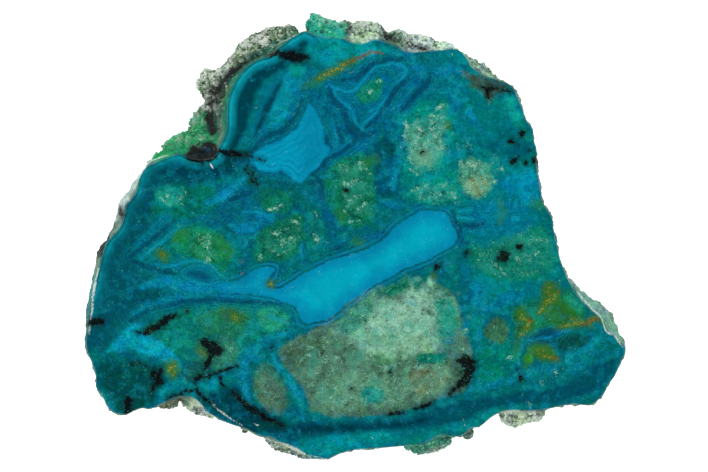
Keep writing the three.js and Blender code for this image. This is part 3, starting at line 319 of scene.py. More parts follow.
# Strokes that the shader draws with sharp edges: for each kind, half width and path
STROKES = {
    "navy": [
        (0.35, [(-2.2, 26), (0, 26.2), (1.5, 27.3), (3, 28.8), (5.6, 29.5), (8, 29.6)]),
        (0.45, [(-4.3, 24.4), (-3.5, 22.5), (-2.2, 21.5)]),
        (0.4, [(-1.6, 20.6), (-1.2, 18.5), (-0.3, 17), (0.4, 16.2)]),
        (0.3, [(0.4, 16.4), (-1, 14.6), (-3, 13.6), (-5, 12.5), (-7, 10.4)]),
        (0.3, [(-3.3, 18.6), (-2.5, 17), (-2, 15.4)]),
        (0.25, [(-4.9, 16.6), (-4.5, 15.2)]),
        (0.4, [(4.8, 21.4), (6, 23.4), (7.5, 25.2), (8.8, 26.4)]),
        (0.5, [(7.6, 20.8), (9.4, 22.8), (11.4, 25), (12.6, 26.6)]),
        (0.35, [(-17, 14.5), (-14.5, 17), (-12.2, 17.3), (-10, 19.8), (-8.6, 22.8)]),
        (0.45, [(18, 1.9), (19.6, 1.8), (21.2, 2)]),
        (0.22, [(-37.6, -14.2), (-32.5, -11.6), (-26, -10.4), (-19, -10.8), (-11.2, -11.6)]),
        (0.3, [(-29, -10.7), (-27.6, -11.2), (-26, -10.6), (-24.6, -11.1), (-23, -10.8)]),
        (0.4, EYE_DARK),
        (0.35, [(-20.8, 6), (-19, 6.6), (-17.4, 7.4)]),
        (0.3, [(-4.2, -2.2), (-2.6, -2), (-1.4, -1.4)]),
        (0.4, [(29.4, -16.8), (31, -16), (32.6, -15.9), (34, -15.8)]),
        (0.35, [(29, -18), (31, -17.7), (33, -17.4)]),
        (0.3, [(-37.6, -3.4), (-35.4, -1.8), (-32.2, 0.8), (-30, 2.5)]),
        (0.25, [(-36.8, -4.2), (-33.5, -5.6), (-30, -6.4)]),
        (0.25, [(16.3, 4), (16.6, 2.6), (17.6, 1.2), (17.4, -0.6), (18.8, -1.4)]),
        (0.25, [(-6.6, 10.2), (-5.6, 8.6), (-5.4, 6)]),
        (0.35, [(-8, 9), (-6.6, 8.8), (-6.2, 9.6)]),
        (0.3, [(-0.5, 18.8), (0.3, 17.6), (1.8, 16.6), (3.4, 17.4)]),
        (0.25, [(4.6, 21), (3.4, 19.4), (1.8, 18)]),
    ],
    "line": [
        (0.1, [(-17.5, 12.2), (-19.4, 9.8), (-18.5, 8.4), (-16.5, 7.6), (-16.2, 9.6)]),
        (0.1, [(-20.2, 9.6), (-18.8, 7.6), (-16.6, 6.6)]),
        (0.1, [(-24.4, 3.4), (-22, 1.4), (-20, 0.4), (-17.4, 0), (-15, 1.6), (-12.4, 2.6), (-10.6, 4.4)]),
        (0.1, [(-22.5, 1.6), (-20.5, 3.8), (-20.6, 5.6)]),
        (0.1, [(-18.4, 2), (-18.8, 0.2), (-17.2, -1.4)]),
        (0.1, [(-8.6, -0.4), (-8.5, -2), (-9.2, -3.2)]),
        (0.1, [(-4.8, 5.4), (-5.4, 8), (-4.6, 9.6)]),
        (0.12, [(16.9, 3.5), (19.8, 3.6), (20.4, 4.6), (19.6, 5.2), (17, 4.9), (16.4, 4.3)]),
        (0.12, [(22.4, 4.8), (24, 6.8)]),
        (0.1, [(25.6, 2.2), (26, 4.2), (26.2, 6.2), (27.2, 6.6), (27.4, 5), (27.8, 3.6), (27.6, 2.2),
               (26.2, 2)]),
        (0.08, [(-31.5, -16.6), (-28, -17.2), (-25.5, -17)]),
        (0.1, [(-10.6, -12.4), (-10.2, -14.2), (-11, -15.6)]),
        (0.1, [(-1.8, -14.6), (-4.6, -15.2)]),
        (0.1, [(-13.2, -5.6), (-13.8, -6.8), (-13.9, -7.6)]),
    ],
    "glow": [
        (0.2, [(-3.6, 25), (-3.3, 23.5), (-2, 22), (-0.6, 21.2), (0, 19.6), (0.2, 18.6), (1.6, 17.6)]),
        (0.25, FINGER),
        (0.2, [(1.2, 18.6), (2.8, 19.6), (4, 21.2)]),
        (0.2, [(-4, 19.4), (-3.3, 17.8), (-2.8, 16), (-3.4, 15)]),
        (0.22, [(-35.8, -3.9), (-33.6, -2.1), (-31.2, 0), (-28.6, 1.7)]),
        (0.2, [(-33.4, -4.9), (-30.6, -5.2), (-28.6, -4.2), (-26, -3.9), (-23.8, -5), (-22.2, -6.6)]),
        (0.2, [(-9, 9.2), (-7.6, 10.8), (-6.2, 12.2), (-4.2, 13.6), (-2.6, 14.2), (-0.6, 15.8)]),
        (0.15, [(17.3, 4.2), (19.4, 4.3)]),
        (0.15, [(17, 3), (19.8, 3)]),
        (0.2, [(22.2, 4.6), (23.6, 6.3)]),
        (0.15, [(26.6, 4.8), (26.8, 5.8)]),
        (0.3, [(26.4, 2.9), (27.2, 2.9)]),
        (0.15, [(-5.8, 9.9), (-4.6, 9.7), (-3.6, 10.2)]),
        (0.2, [(-8.9, -1.4), (-9.1, -2.9), (-8.8, -3.6)]),
        (0.2, [(-24, 5.6), (-22, 6.2), (-20.6, 7.4)]),
        (0.2, [(-18.9, 3.8), (-16, 3.9), (-14, 3.4)]),
        (0.12, [(13.9, -17.4), (16.2, -17.6)]),
        (0.2, [(8.7, -10.8), (10.2, -11.6)]),
        (0.2, [(-15.6, -13.2), (-13.4, -13.6), (-11.4, -14.6)]),
    ],
    "ink": [
        (0.75, [(-13, 30.5), (-11.4, 30), (-9.6, 29.6), (-8, 29.7)]),
        (0.25, [(-14.6, 30.2), (-13, 30.6)]),
        (0.55, [(-27.8, 12.9), (-26.2, 12.6), (-24.6, 12.8), (-23.2, 13.2)]),
        (0.5, [(-28, 13.4), (-27, 14.8), (-26.4, 15)]),
        (0.35, [(-26.4, 15.2), (-24.8, 15.3), (-23.4, 15.2), (-23.1, 14)]),
        (0.5, [(-22.6, 14), (-21, 13.8), (-18.8, 13.6)]),
        (0.16, [(-19.4, 13.9), (-17.4, 13.4), (-15.3, 12.5)]),
        (0.16, [(-18.2, 11.1), (-17.4, 9.6), (-16.9, 8.6), (-16.2, 8.5)]),
        (0.16, [(-17.7, 11.4), (-16.9, 10.4), (-16.2, 8.8)]),
        (0.7, [(-24.2, 20.2), (-24, 18.4), (-23.6, 17.6)]),
        (0.25, [(-22.9, 22), (-23, 24.5), (-21.6, 26.5), (-19.6, 27.9), (-16.2, 30.2)]),
        (0.2, [(-23.6, 21.4), (-24, 23.4), (-23.4, 25)]),
        (0.2, [(-1, 34.2), (-0.8, 34.8)]),
        (0.25, [(4.8, 33.4), (5.4, 33), (6.8, 32.6)]),
        (0.25, [(8.8, 32.4), (10.2, 31.4), (12, 31.2)]),
        (0.5, [(-44, -14.3), (-42.3, -14.3)]),
        (0.3, [(-39.1, 4.4), (-38.9, 3.6)]),
        (0.35, [(-36.3, -16), (-35, -16.2), (-33.6, -15.9)]),
        (0.6, [(-34.9, -16), (-33.5, -15.2), (-31.9, -14.3), (-30.8, -13.4), (-29.7, -13)]),
        (0.2, [(-28.2, -12.2), (-28, -12.4)]),
        (0.55, [(-33.7, -23.1), (-32.9, -23.9), (-32.6, -24.4)]),
        (0.3, [(-32.4, -22.2), (-32.8, -23.4)]),
        (0.35, [(-33.2, -24.4), (-34, -26.2)]),
        (0.5, [(-37.7, -27.2), (-37.8, -29)]),
        (0.22, [(-37.6, -21.5), (-36.4, -21.3), (-35.2, -21.6)]),
        (0.85, [(-24.9, -17.6), (-23.7, -18.3), (-22.7, -19.1)]),
        (0.6, [(-24.4, -18.6), (-23.8, -19.4)]),
        (0.4, [(-23.9, -20.2), (-25, -21.6), (-25, -22.2)]),
        (0.35, [(-24.6, -23.4), (-26.4, -23.6), (-26.6, -24.6)]),
        (0.25, [(-24.9, -23.4), (-23.6, -23), (-22.4, -22.6), (-21, -22.3), (-19.9, -21.7)]),
        (0.2, [(-22.3, -23.4), (-22.2, -24.8), (-21.6, -24.9)]),
        (0.25, [(-26.9, -25.6), (-28.6, -26), (-29.6, -26.4)]),
        (0.3, [(-26.6, -24.8), (-26.2, -26.2), (-25.2, -27.2), (-23.8, -28)]),
        (0.15, [(-31.6, -26.9), (-30, -26.5), (-28.6, -26.4)]),
        (0.45, [(-20.5, -25.8), (-19.5, -27.2), (-17.5, -28.8), (-15.5, -30), (-13.6, -31), (-12, -31.6)]),
        (0.8, [(17.4, -20.7), (18.6, -21.2), (19.2, -22), (18.7, -23), (18.7, -24), (18, -24.9)]),
        (0.5, [(18.2, -20.4), (19.4, -21)]),
        (0.5, [(17.9, -24.2), (17.2, -25.2)]),
        (0.3, [(17.2, -22.6), (18, -23)]),
        (0.35, [(16.4, -25.7), (15.8, -26.3)]),
        (0.35, [(5.4, -29.8), (6.5, -29.4), (8, -29.6)]),
        (0.22, [(10, -28.9), (12, -28.3), (13, -27.7)]),
        (0.45, [(27.9, 17), (27.95, 17.1)]),
        (0.25, [(29.1, 14.3), (29.15, 14.3)]),
        (0.48, [(26.5, 12.5), (26.7, 12.5)]),
        (0.25, [(28.5, 12.3), (28.55, 12.3)]),
        (0.5, [(29.7, 12.6), (29.9, 12.6)]),
        (0.15, [(25.8, 15.9), (26.3, 15.5)]),
        (0.15, [(26.8, 15.2), (26.85, 15.2)]),
        (0.8, [(24.8, -3.2), (25, -3.4)]),
        (0.35, [(23.9, -3.7), (24, -3.7)]),
        (0.45, [(27.4, -1.8), (27.5, -1.8)]),
        (0.38, [(18.6, -2.9), (18.7, -3)]),
        (0.5, [(13.8, -5.2), (13.9, -5.3)]),
        (0.14, [(27.4, -22.6), (27.6, -24.4)]),
        (0.35, [(21.2, 24.9), (22.4, 24.4), (23.6, 24.6)]),
        (0.3, [(22.3, 24.4), (22.4, 23)]),
        (0.25, [(24.4, 24.1), (26, 24.2)]),
        (0.2, [(-1.6, 7.7), (-1.5, 7.5)]),
        (0.15, [(11.1, 14.1), (11.2, 14)]),
        (0.2, [(-14, -18.8), (-13.8, -18.9)]),
        (0.12, [(5.8, -22.8), (5.9, -22.8)]),
        (0.12, [(-0.8, -25.6), (-0.6, -25.7)]),
        (0.14, [(9.4, -26.4), (9.5, -26.4)]),
    ],
    "rust": [
        (0.42, [(-1.6, 28.7), (0, 29.6), (1.5, 30.3), (2.8, 30.9), (4.6, 30.5)]),
        (0.2, [(-0.7, 27.5), (-0.4, 27.5)]),
        (0.22, [(-19, -4.1), (-19, -4.4)]),
        (0.22, [(-19.1, -5.8), (-19, -6.1)]),
        (0.22, [(17.6, 27.6), (19.2, 26.8)]),
        (0.2, [(18, 26.8), (19.4, 26.3)]),
        (0.3, [(37.4, -15), (38.6, -14.7), (39.2, -15.2)]),
        (0.45, [(39.3, -14.3), (39.8, -13.9), (40.5, -14)]),
        (0.35, [(33, -20.3), (33.4, -20.6)]),
        (0.3, [(29, -13.6), (29.3, -14.2)]),
        (0.18, [(-0.9, -33.4), (-0.85, -33.4)]),
        (0.25, [(33.6, -9.3), (34, -9.2)]),
        (0.14, [(-0.9, -25.8), (-0.3, -25.6)]),
    ],
    "gold": [
        (0.42, [(-6.3, 26.2), (-4, 27.3), (-2, 28.5), (0, 29.5)]),
        (0.45, [(32.2, -7.9), (32.3, -9.3), (32.3, -10.6), (31.4, -11.6), (30.6, -12.6)]),
        (0.35, [(33.4, -9.4), (33.2, -10.4), (32.6, -11.2)]),
        (0.4, [(30.2, -18.8), (31, -19.8), (32.6, -20.4), (33.6, -20.6)]),
        (0.3, [(31, -18.8), (32.2, -19.2)]),
        (0.45, [(-30.3, -21.2), (-30.1, -21.6), (-30.8, -22), (-31.2, -22.8)]),
        (0.3, [(-30, -22.4), (-30.4, -23.2)]),
        (0.5, [(-32.3, -3), (-32.1, -3.4)]),
        (0.42, [(-20.1, -13.4), (-19.8, -13.7)]),
        (0.3, [(-25.8, -18.8), (-24.8, -20.1)]),
        (0.4, [(27.4, -12.8), (27.8, -14), (29, -14.4), (28.2, -15.8), (27.6, -16.8)]),
        (0.2, [(15.6, 18.6), (15.5, 18.2)]),
        (0.2, [(13.2, -6.6), (13.3, -6.8)]),
        (0.4, [(33.8, -15.2), (35.4, -14.8), (37, -14.7), (38.6, -14.4), (39.4, -15)]),
        (0.4, [(39, -14.4), (40, -13.7), (40.8, -14.2)]),
        (0.3, [(36.2, -14), (37.2, -14)]),
        (0.22, [(-34.2, -15.8), (-34, -15.8)]),
        (0.4, [(-14, -8), (-13.9, -8)]),
    ],
    "leaf": [
        (0.5, [(-8.6, 25), (-7, 25.7), (-5.6, 26.4)]),
        (0.7, [(33.4, -10.6), (35, -11.6), (36.4, -12.8)]),
        (0.8, [(32.4, -12.6), (33.4, -13.6)]),
        (0.5, [(27.1, -18), (26.9, -19.4)]),
        (0.5, [(28.7, -20.6), (28.6, -21.4)]),
        (0.9, [(30, -18.4), (32, -19.4)]),
        (0.6, [(29.9, 5.5), (30.6, 5.4)]),
        (0.45, [(23.9, 5.6), (24.6, 4), (24.1, 2.4)]),
        (0.4, [(-21.9, -12), (-21.5, -12.1)]),
        (0.4, [(-15.6, -13.2), (-15.3, -13.2)]),
        (0.7, [(4.2, -20.5), (5.8, -20.7)]),
        (0.7, [(2.2, 12.4), (3.2, 12.8)]),
        (0.6, [(-2.4, 3.8), (-2.2, 3)]),
        (0.6, [(0.2, -1), (1, -1.1)]),
        (0.8, [(-22.6, -0.8), (-21.4, -2.6)]),
        (0.7, [(-29.6, -0.4), (-28.4, 0.4)]),
        (0.8, [(-32.4, -3), (-31.8, -3.4)]),
        (0.9, [(-30.8, -21.6), (-30.4, -22.6)]),
        (0.8, [(27.6, -13), (29, -15.6)]),
    ],
    "bone": [
        (0.39, [(-13.8, 0.4), (-12.8, 0.7), (-12, 0.9)]),
        (0.26, [(-10.8, 2.6), (-10, 2.3), (-9.2, 3)]),
        (0.2, [(-14.1, 4.4), (-13, 4.8), (-12.3, 5.2), (-11.6, 5)]),
        (0.18, [(-6.6, 4), (-6.3, 3.2)]),
        (0.33, [(-6.7, 0.6), (-6.5, -1)]),
        (0.13, [(-15.9, -3.2), (-15.8, -4)]),
        (0.29, [(-1, 12), (-1.5, 10.8), (-2, 10.4)]),
        (0.29, [(1, 11.9), (1.1, 11.2)]),
        (0.26, [(-2, 8.6), (-1.5, 8.4)]),
        (0.14, [(-1.6, 7), (-1.4, 6.9)]),
        (0.23, [(-1.4, 5.1), (-0.7, 4.4), (-0.1, 3.4), (-0.6, 2.5)]),
        (0.18, [(1.7, 5.6), (1.1, 5), (0.7, 4.4)]),
        (0.16, [(2.2, 24), (3, 24.2)]),
        (0.16, [(3.8, 25.9), (4, 26)]),
        (0.39, [(8.6, 18.9), (8.4, 17.8), (8.1, 16.6)]),
        (0.33, [(12.2, 20), (13.4, 21.2), (15.2, 22.1)]),
        (0.33, [(11, 18.2), (10.6, 17.4)]),
        (0.39, [(13.6, 16.6), (14.3, 15.8)]),
        (0.39, [(10, 15.4), (10.8, 16.2)]),
        (0.23, [(9.4, 11), (10.2, 10.6)]),
        (0.26, [(10.2, 6.4), (11.4, 6.2), (12.7, 6.2)]),
        (0.16, [(13.8, 7.1), (14.2, 6.8)]),
        (0.33, [(15.8, 7.6), (16.4, 6.8), (16.8, 5.8)]),
        (0.36, [(18, 12.2), (18.1, 11.6)]),
        (0.39, [(18, 9.8), (19.2, 8.4), (19.6, 7.4)]),
        (0.39, [(20.8, 10), (21.2, 8.6), (21, 7)]),
        (0.2, [(23, 9), (23.6, 9.1)]),
        (0.23, [(24.2, 11.4), (24.4, 11.2)]),
        (0.2, [(-31.4, 6.6), (-30.8, 6.1)]),
        (0.18, [(-28.4, 7.4), (-28, 6.6)]),
        (0.33, [(-25.6, -1.2), (-24.8, -2), (-24.2, -3)]),
        (0.2, [(-24.3, -3.6), (-24, -4.4)]),
        (0.2, [(20.6, -3.4), (20.9, -3.5)]),
        (0.2, [(-21.8, -17.9), (-21.4, -18.3)]),
        (0.26, [(33.6, -22.7), (33.8, -22.9)]),
        (0.26, [(25.4, -20.2), (25.9, -20.3)]),
        (0.23, [(18.6, -15.7), (18.8, -15.9)]),
        (0.26, [(17.8, -19.2), (18.3, -19.4)]),
        (0.2, [(22.2, 23.1), (22.3, 22.5)]),
        (0.26, [(28.4, -27.4), (29.2, -28.2)]),
    ],
    # Painted highlights: thin white lines along the sharp edges, where they catch the lamps
    "painted_glint": [
        (0.16, [(-44.4, -16.4), (-44.1, -13.4), (-43.8, -10.6), (-43.3, -8), (-42.7, -5.4)]),
        (0.12, [(-36.4, 9.2), (-35, 11.8), (-33.4, 12.9), (-31, 13.6)]),
        (0.12, [(36.9, -9.2), (38, -10.5), (39.4, -12), (41, -13.4), (41.4, -15), (42.2, -16.2),
                (43.2, -16.5)]),
        (0.1, [(43.3, -16.6), (44.2, -17.8), (44.9, -18.8)]),
        (0.1, [(-16.4, -33.4), (-13.8, -34.2), (-11, -35.2), (-8.6, -36.4), (-5, -37)]),
        (0.1, [(-12.4, -34.4), (-9.6, -35.6), (-7.4, -36.8)]),
        (0.1, [(-24.4, -27.4), (-22.6, -29.2), (-20.4, -30.6), (-18.6, -31.6)]),
        (0.08, [(8.8, 31.8), (11, 31.4), (13.6, 31.3), (16.6, 31.3)]),
        (0.08, [(2.6, 34.4), (5, 32.8)]),
        (0.08, [(-14.6, 31.4), (-12, 32.4), (-9.6, 33.6)]),
    ],
    # White marks on the polish: fine scratches, and small painted highlights
    "scratch_and_highlight": [
        (0.1, [(-24.6, 12.1), (-23.6, 11.1)]),
        (0.08, [(-24, 12.2), (-23.4, 11.4)]),
        (0.08, [(-24.1, -27.5), (-23.2, -28.2)]),
        (0.08, [(-17, -31.1), (-15.8, -31.6)]),
        (0.06, [(2.4, -33), (3.2, -34)]),
        (0.05, [(4, -33), (4.5, -33.3)]),
        (0.05, [(17.8, -29.8), (18.5, -32)]),
        (0.06, [(39.2, -16.8), (40, -17.5)]),
        (0.1, [(-16.7, 21.4), (-16.6, 21.4)]),
        (0.1, [(1.1, 32.1), (1.2, 32.1)]),
        (0.1, [(34, -7.4), (34.05, -7.4)]),
        (0.09, [(34.2, -7.9), (34.25, -7.9)]),
        (0.06, [(16.2, 30.6), (16.2, 29.8)]),
        (0.08, [(0.7, -10.2), (0.9, -10.3)]),
        (0.06, [(-0.4, -10.4), (-0.3, -10.5)]),
        (0.05, [(21.2, 3.6), (21.8, 3.5)]),
        (0.07, [(-23, -7.2), (-22.9, -7.3)]),
        (0.05, [(-4.9, -0.9), (-4.6, -1.2)]),
    ],
}

# Where pale crystals speckle the stone, and how densely
SPECKLED = [
    (0.75, 3.0, [(-1.5, -15), (4, -11.6), (8, -9.8), (13, -9.2), (15.6, -11.6), (15, -17), (10, -19.4),
                 (3, -18.8)]),
    (0.5, 1.5, [(-11, -18), (-5, -15), (2, -19.5), (16, -20.5), (17, -25), (8, -28.6), (-3, -29.4),
                (-8, -27), (-9.6, -22)]),
    (0.75, 1.2, [(8, 19), (12, 20), (15.4, 22.4), (15.6, 15), (14, 11), (9.4, 10.6), (8.2, 15)]),
    (0.6, 1.0, [(9.4, 9), (13, 8.6), (17.6, 8.4), (17.6, 5.4), (13, 5.2), (9.8, 5.6)]),
    (0.85, 0.8, [(17.2, 10.4), (18, 12.8), (19.6, 13), (22, 12), (23, 9.5), (22.2, 7.4), (20.8, 6.1),
                 (19.2, 6.1), (18.2, 7.2)]),
    (0.35, 1.2, [(16, 18), (19, 17), (20, 13.6), (24, 14.6), (25.4, 11), (24, 9), (22.4, 12.4),
                 (18, 13.6), (16.4, 15)]),
    (0.45, 1.0, [(-3.4, 12.4), (2.4, 13), (2.6, 9), (2.8, 3), (-1, 1.8), (-2.4, 5), (-3, 9)]),
    (0.45, 0.8, [(-15, 0.6), (-10, 3.4), (-8.8, 2.6), (-9.6, -3), (-14, -4), (-16, -2)]),
    (0.5, 0.8, [(-28, 0.6), (-24, 1), (-22.4, -3), (-23.4, -5), (-27.6, -3.6)]),
    (0.35, 1.2, [(-16.6, -12), (-11, -12.6), (-11.4, -15.4), (-15.6, -16.4)]),
    (0.3, 1.2, [(-24, -17), (-19, -16.6), (-19.4, -21), (-23, -21.6)]),
    (0.4, 0.8, [(-17, -24), (-14, -22), (-11, -27), (-12, -29.4), (-16, -27)]),
    (0.4, 1.4, [(18, -1.6), (24, 0), (31, 2), (34, -5), (26, -7.6), (20, -6)]),
    (0.35, 1.0, [(21.8, -15), (24.4, -14), (25.6, -16), (24, -18), (22, -17)]),
    (0.3, 1.2, [(29, -25), (34, -21.6), (36.4, -22.4), (33, -24.8)]),
    (0.35, 1.2, [(1, -10), (8, -7.4), (16, -8.4), (16.8, -13), (12, -9), (4, -11)]),
    (0.45, 0.9, [(-34, 7.8), (-31, 8.4), (-27.4, 7.6), (-27.6, 5.4), (-32, 4.6)]),
    (0.3, 1.0, [(-12.4, -19), (-11, -17), (-9.4, -17), (-10.6, -19.4)]),
]

# Where the colour is smooth, and how smooth
CALM = [
    (0.75, 1.5, [(-24, 12), (-22, 20), (-20, 28), (-12, 33), (-6, 32), (-10, 26), (-14, 20), (-18, 14)]),
    (0.5, 2.0, [(-46, -20), (-44, -5), (-40, 4), (-36, 12), (-24, 13), (-25, 8.6), (-34, 9), (-37, 2),
                (-38, -4), (-36, -9), (-38, -14), (-41, -19)]),
    (0.6, 1.5, [(-12, -31), (0, -30.4), (12, -29), (22, -26.6), (34, -25.2), (43, -20), (45, -22),
                (38, -28), (22, -29), (10, -33), (0, -33), (-10, -34)]),
    (0.35, 3.0, [(18, 20), (24, 24), (30, 16), (31, 6), (34, -4), (38, -10), (26, -9), (18, -5), (17, 4),
                 (23, 8), (22, 14)]),
]

# Where a light line runs inside the polished edge, and how strongly
LIT_EDGES = [
    (1.0, 2.0, [(-30, 16), (-24, 16), (-24, 26), (-16, 33), (-8, 36), (-7, 30), (-16, 24), (-18, 10),
                (-30, 10)]),
    (0.5, 2.0, [(-46, -14), (-44, 2), (-34, 16), (-28, 16), (-28, 10), (-36, 4), (-38, -2), (-40, -14)]),
]

# Where the crust is rough and beset with small crystals
RUGGED = [
    (1.0, 1.0, [(-28.6, 20), (-29, 29), (-20, 37), (-9, 37), (-9, 33.6), (-17, 28.8), (-21.6, 23),
                (-21.6, 20)]),
    (0.08, 1.0, [(-36.5, 12), (-33, 19), (-28, 22), (-21.6, 22), (-21.6, 16), (-23, 15.8), (-28, 15.6),
                 (-31, 13.6)]),
    (0.1, 0.8, [(-9, 33.4), (-9, 39), (-1, 39), (-1, 32.4)]),
    (0.8, 0.8, [(-1, 32), (-1, 38), (19, 34), (24, 30), (26, 25), (18, 28), (16.6, 30.6)]),
    (0.8, 0.8, [(23.6, -28.4), (24, -34), (33, -33), (32.4, -28.4)]),
    (0.8, 0.8, [(7.6, -34), (8, -39), (21, -35), (21, -31)]),
    (0.7, 0.8, [(-3, -36.4), (-3, -39), (-20, -35), (-36, -31), (-34, -27.4), (-24, -29), (-14, -33)]),
]

# The crust beyond the polished edge: soft areas of its colour, laid over the rind's own
CRUST_AREAS = [
    ("#02985e", 1.0, [(-35, 12), (-33, 15.5), (-28.6, 18), (-26, 21.5), (-23.5, 22), (-22, 16),
                      (-24, 13.5), (-30, 13)]),
    ("#4cb88c", 0.6, [(-36.6, 12.4), (-35, 16.4), (-29, 19), (-27.4, 22.4), (-28.6, 22), (-31, 20),
                      (-37, 15)]),
    ("#6f8a66", 1.2, [(-28, 22), (-28, 28.5), (-19, 34.5), (-9, 36.5), (-9, 33.4), (-16, 29), (-20, 25),
                      (-21.5, 22)]),
    ("#566e50", 1.0, [(-25.6, 21.6), (-25.6, 24), (-23.4, 25), (-21.6, 27), (-20.6, 25), (-22.4, 22)]),
    ("#128068", 0.7, [(-21.4, 24.6), (-18.6, 28.4), (-14, 31), (-10, 33.4), (-10, 34.4), (-13, 32.6),
                      (-16, 31), (-20.4, 27.6)]),
    ("#0cae94", 0.7, [(-8.6, 34), (-8, 38), (-5, 37), (-1, 36), (-0.8, 33), (-5, 32.4)]),
    ("#bfd8bc", 0.7, [(-1, 32), (-1, 36.5), (4.4, 36.5), (4.6, 32)]),
    ("#7fa488", 0.6, [(4.6, 31.6), (4.8, 35), (8.6, 35.4), (8.8, 30.6)]),
    ("#cfe2d4", 0.8, [(8.6, 30), (8.6, 35), (18, 32.4), (17, 30)]),
    ("#a8c4b0", 0.8, [(16.6, 32), (17, 30), (26, 25), (27, 25.6), (22, 30)]),
    ("#79ac9e", 1.0, [(34.6, -6), (38.6, -7.6), (46, -18), (44, -18.6), (36.4, -9)]),
    ("#aebbb0", 0.6, [(35, -5.8), (38.6, -7), (41, -10), (38.6, -10), (36, -7.6)]),
    ("#cddbc2", 0.7, [(24, -28.6), (24, -32.6), (32, -31.4), (32, -28.4)]),
    ("#3c9c84", 0.8, [(7.6, -34), (8, -37), (16.4, -35.6), (16.4, -32.6)]),
    ("#9aa89a", 1.0, [(-4, -36.4), (-4, -38), (-16, -36), (-16, -33)]),
    ("#c3cdbd", 0.8, [(-23, -29), (-23, -32), (-28, -31), (-28, -26)]),
    ("#6c7662", 0.8, [(-28.6, -26), (-28.6, -31), (-34, -30), (-34, -26)]),
    ("#2f7f7c", 0.8, [(-46, -18), (-46, -3), (-43, -3), (-44, -17)]),
    ("#1b322d", 0.6, [(-44, -3.6), (-42, 2), (-40, 2.6), (-41.4, -1.4), (-42.4, -4)]),
    ("#b4c6be", 0.7, [(-42, 2), (-38, 9), (-34.4, 12.4), (-35.4, 10), (-38, 6), (-39, 2.6)]),
    # The pocket, near black inside
    ("#04141a", 0.3, [(-28.2, 12.2), (-29, 13.4), (-27.8, 14), (-27.6, 15.1), (-26, 14.8), (-24.9, 15.6),
                      (-23.2, 15.4), (-23.6, 14.3), (-22.4, 13.6), (-22.6, 12.4)]),
    # painted highlight: a blue gleam inside the pocket
    ("#0e6a88", 0.4, [(-25.6, 14.1), (-25, 14.9), (-24.3, 14.6), (-24.6, 13.9)]),
]
CRUST_BANDS = [
    ("#0a8460", 0.7, 0.5, [(-21.5, 15.6), (-21.7, 17.5), (-21.5, 20), (-21.1, 22.5), (-20.3, 24.8),
                           (-18.6, 27), (-16, 29), (-13.4, 30.3)]),
    ("#08130f", 0.35, 0.6, [(-23.2, 18), (-23.1, 20), (-22.9, 22.6), (-22.2, 25.2), (-20.6, 27.2),
                            (-18.4, 29)]),
]


def display_colour(code):
    """A display colour such as #0290ae as linear red, green and blue."""
    channels = np.array([int(code[i:i + 2], 16) for i in (1, 3, 5)]) / 255
    return np.where(channels <= 0.04045, channels / 12.92, ((channels + 0.055) / 1.055) ** 2.4)


def rounded(path, closed=False):
    """A path with its corners cut off twice."""
    stops = np.array(path, float)
    for _ in range(2):
        following = np.roll(stops, -1, 0) if closed else stops[1:]
        start = stops if closed else stops[:-1]
        cut = np.stack([0.75 * start + 0.25 * following, 0.25 * start + 0.75 * following], 1)
        cut = cut.reshape(-1, 2)
        stops = cut if closed else np.vstack([stops[:1], cut, stops[-1:]])
    return stops


def near(points, stops, reach):
    """Which points lie within reach of the box round a path."""
    low = stops.min(0) - reach
    high = stops.max(0) + reach
    return np.nonzero(((points >= low) & (points <= high)).all(1))[0]


def distance_to(points, stops, closed=False):
    """How far each point is from a path of straight steps."""
    best = np.full(len(points), np.inf)
    ends = np.vstack([stops, stops[:1]]) if closed else stops
    for start, end in zip(ends, ends[1:]):
        step = end - start
        share = np.clip((points - start) @ step / max(step @ step, 1e-12), 0, 1)
        best = np.minimum(best, np.hypot(*(points - start - share[:, None] * step).T))
    return best


def is_inside(points, stops):
    """Which points lie inside a closed outline."""
    inside = np.zeros(len(points), bool)
    x, y = points.T
    for (x0, y0), (x1, y1) in zip(stops, np.roll(stops, -1, 0)):
        if y0 != y1:
            crosses = ((y0 > y) != (y1 > y)) & (x < x0 + (y - y0) * (x1 - x0) / (y1 - y0))
            inside ^= crosses
    return inside


def depth_inside(points, outline, reach=FAR):
    """How deep each point lies inside a rounded outline, negative outside, at most reach either way."""
    stops = rounded(outline, closed=True)
    depth = np.full(len(points), -reach)
    close = near(points, stops, reach)
    distance = np.minimum(distance_to(points[close], stops, closed=True), reach)
    depth[close] = np.where(is_inside(points[close], stops), distance, -distance)
    return depth


def depth_in_stroke(points, strokes, reach=FAR):
    """How deep each point lies inside the nearest stroke, negative outside. Long strokes have thin ends."""
    depth = np.full(len(points), -reach)
    for half_width, path in strokes:
        stops = rounded(path)
        close = near(points, stops, reach + half_width)
        here = points[close]
        steps = np.diff(stops, axis=0)
        lengths = np.hypot(*steps.T)
        total = lengths.sum()
        thinning = THINNED if total > THINNED_LENGTH * half_width else 0
        for start, step, length, before in zip(stops, steps, lengths, np.cumsum(lengths) - lengths):
            share = np.clip((here - start) @ step / max(length * length, 1e-12), 0, 1)
            distance = np.hypot(*(here - start - share[:, None] * step).T)
            off_middle = 2 * (before + share * length) / max(total, 1e-9) - 1
            inside = half_width * (1 - thinning * off_middle ** 2) - distance
            depth[close] = np.maximum(depth[close], inside)
    return depth


def smooth_step(value, low, high):
    share = np.clip((value - low) / (high - low), 0, 1)
    return share * share * (3 - 2 * share)


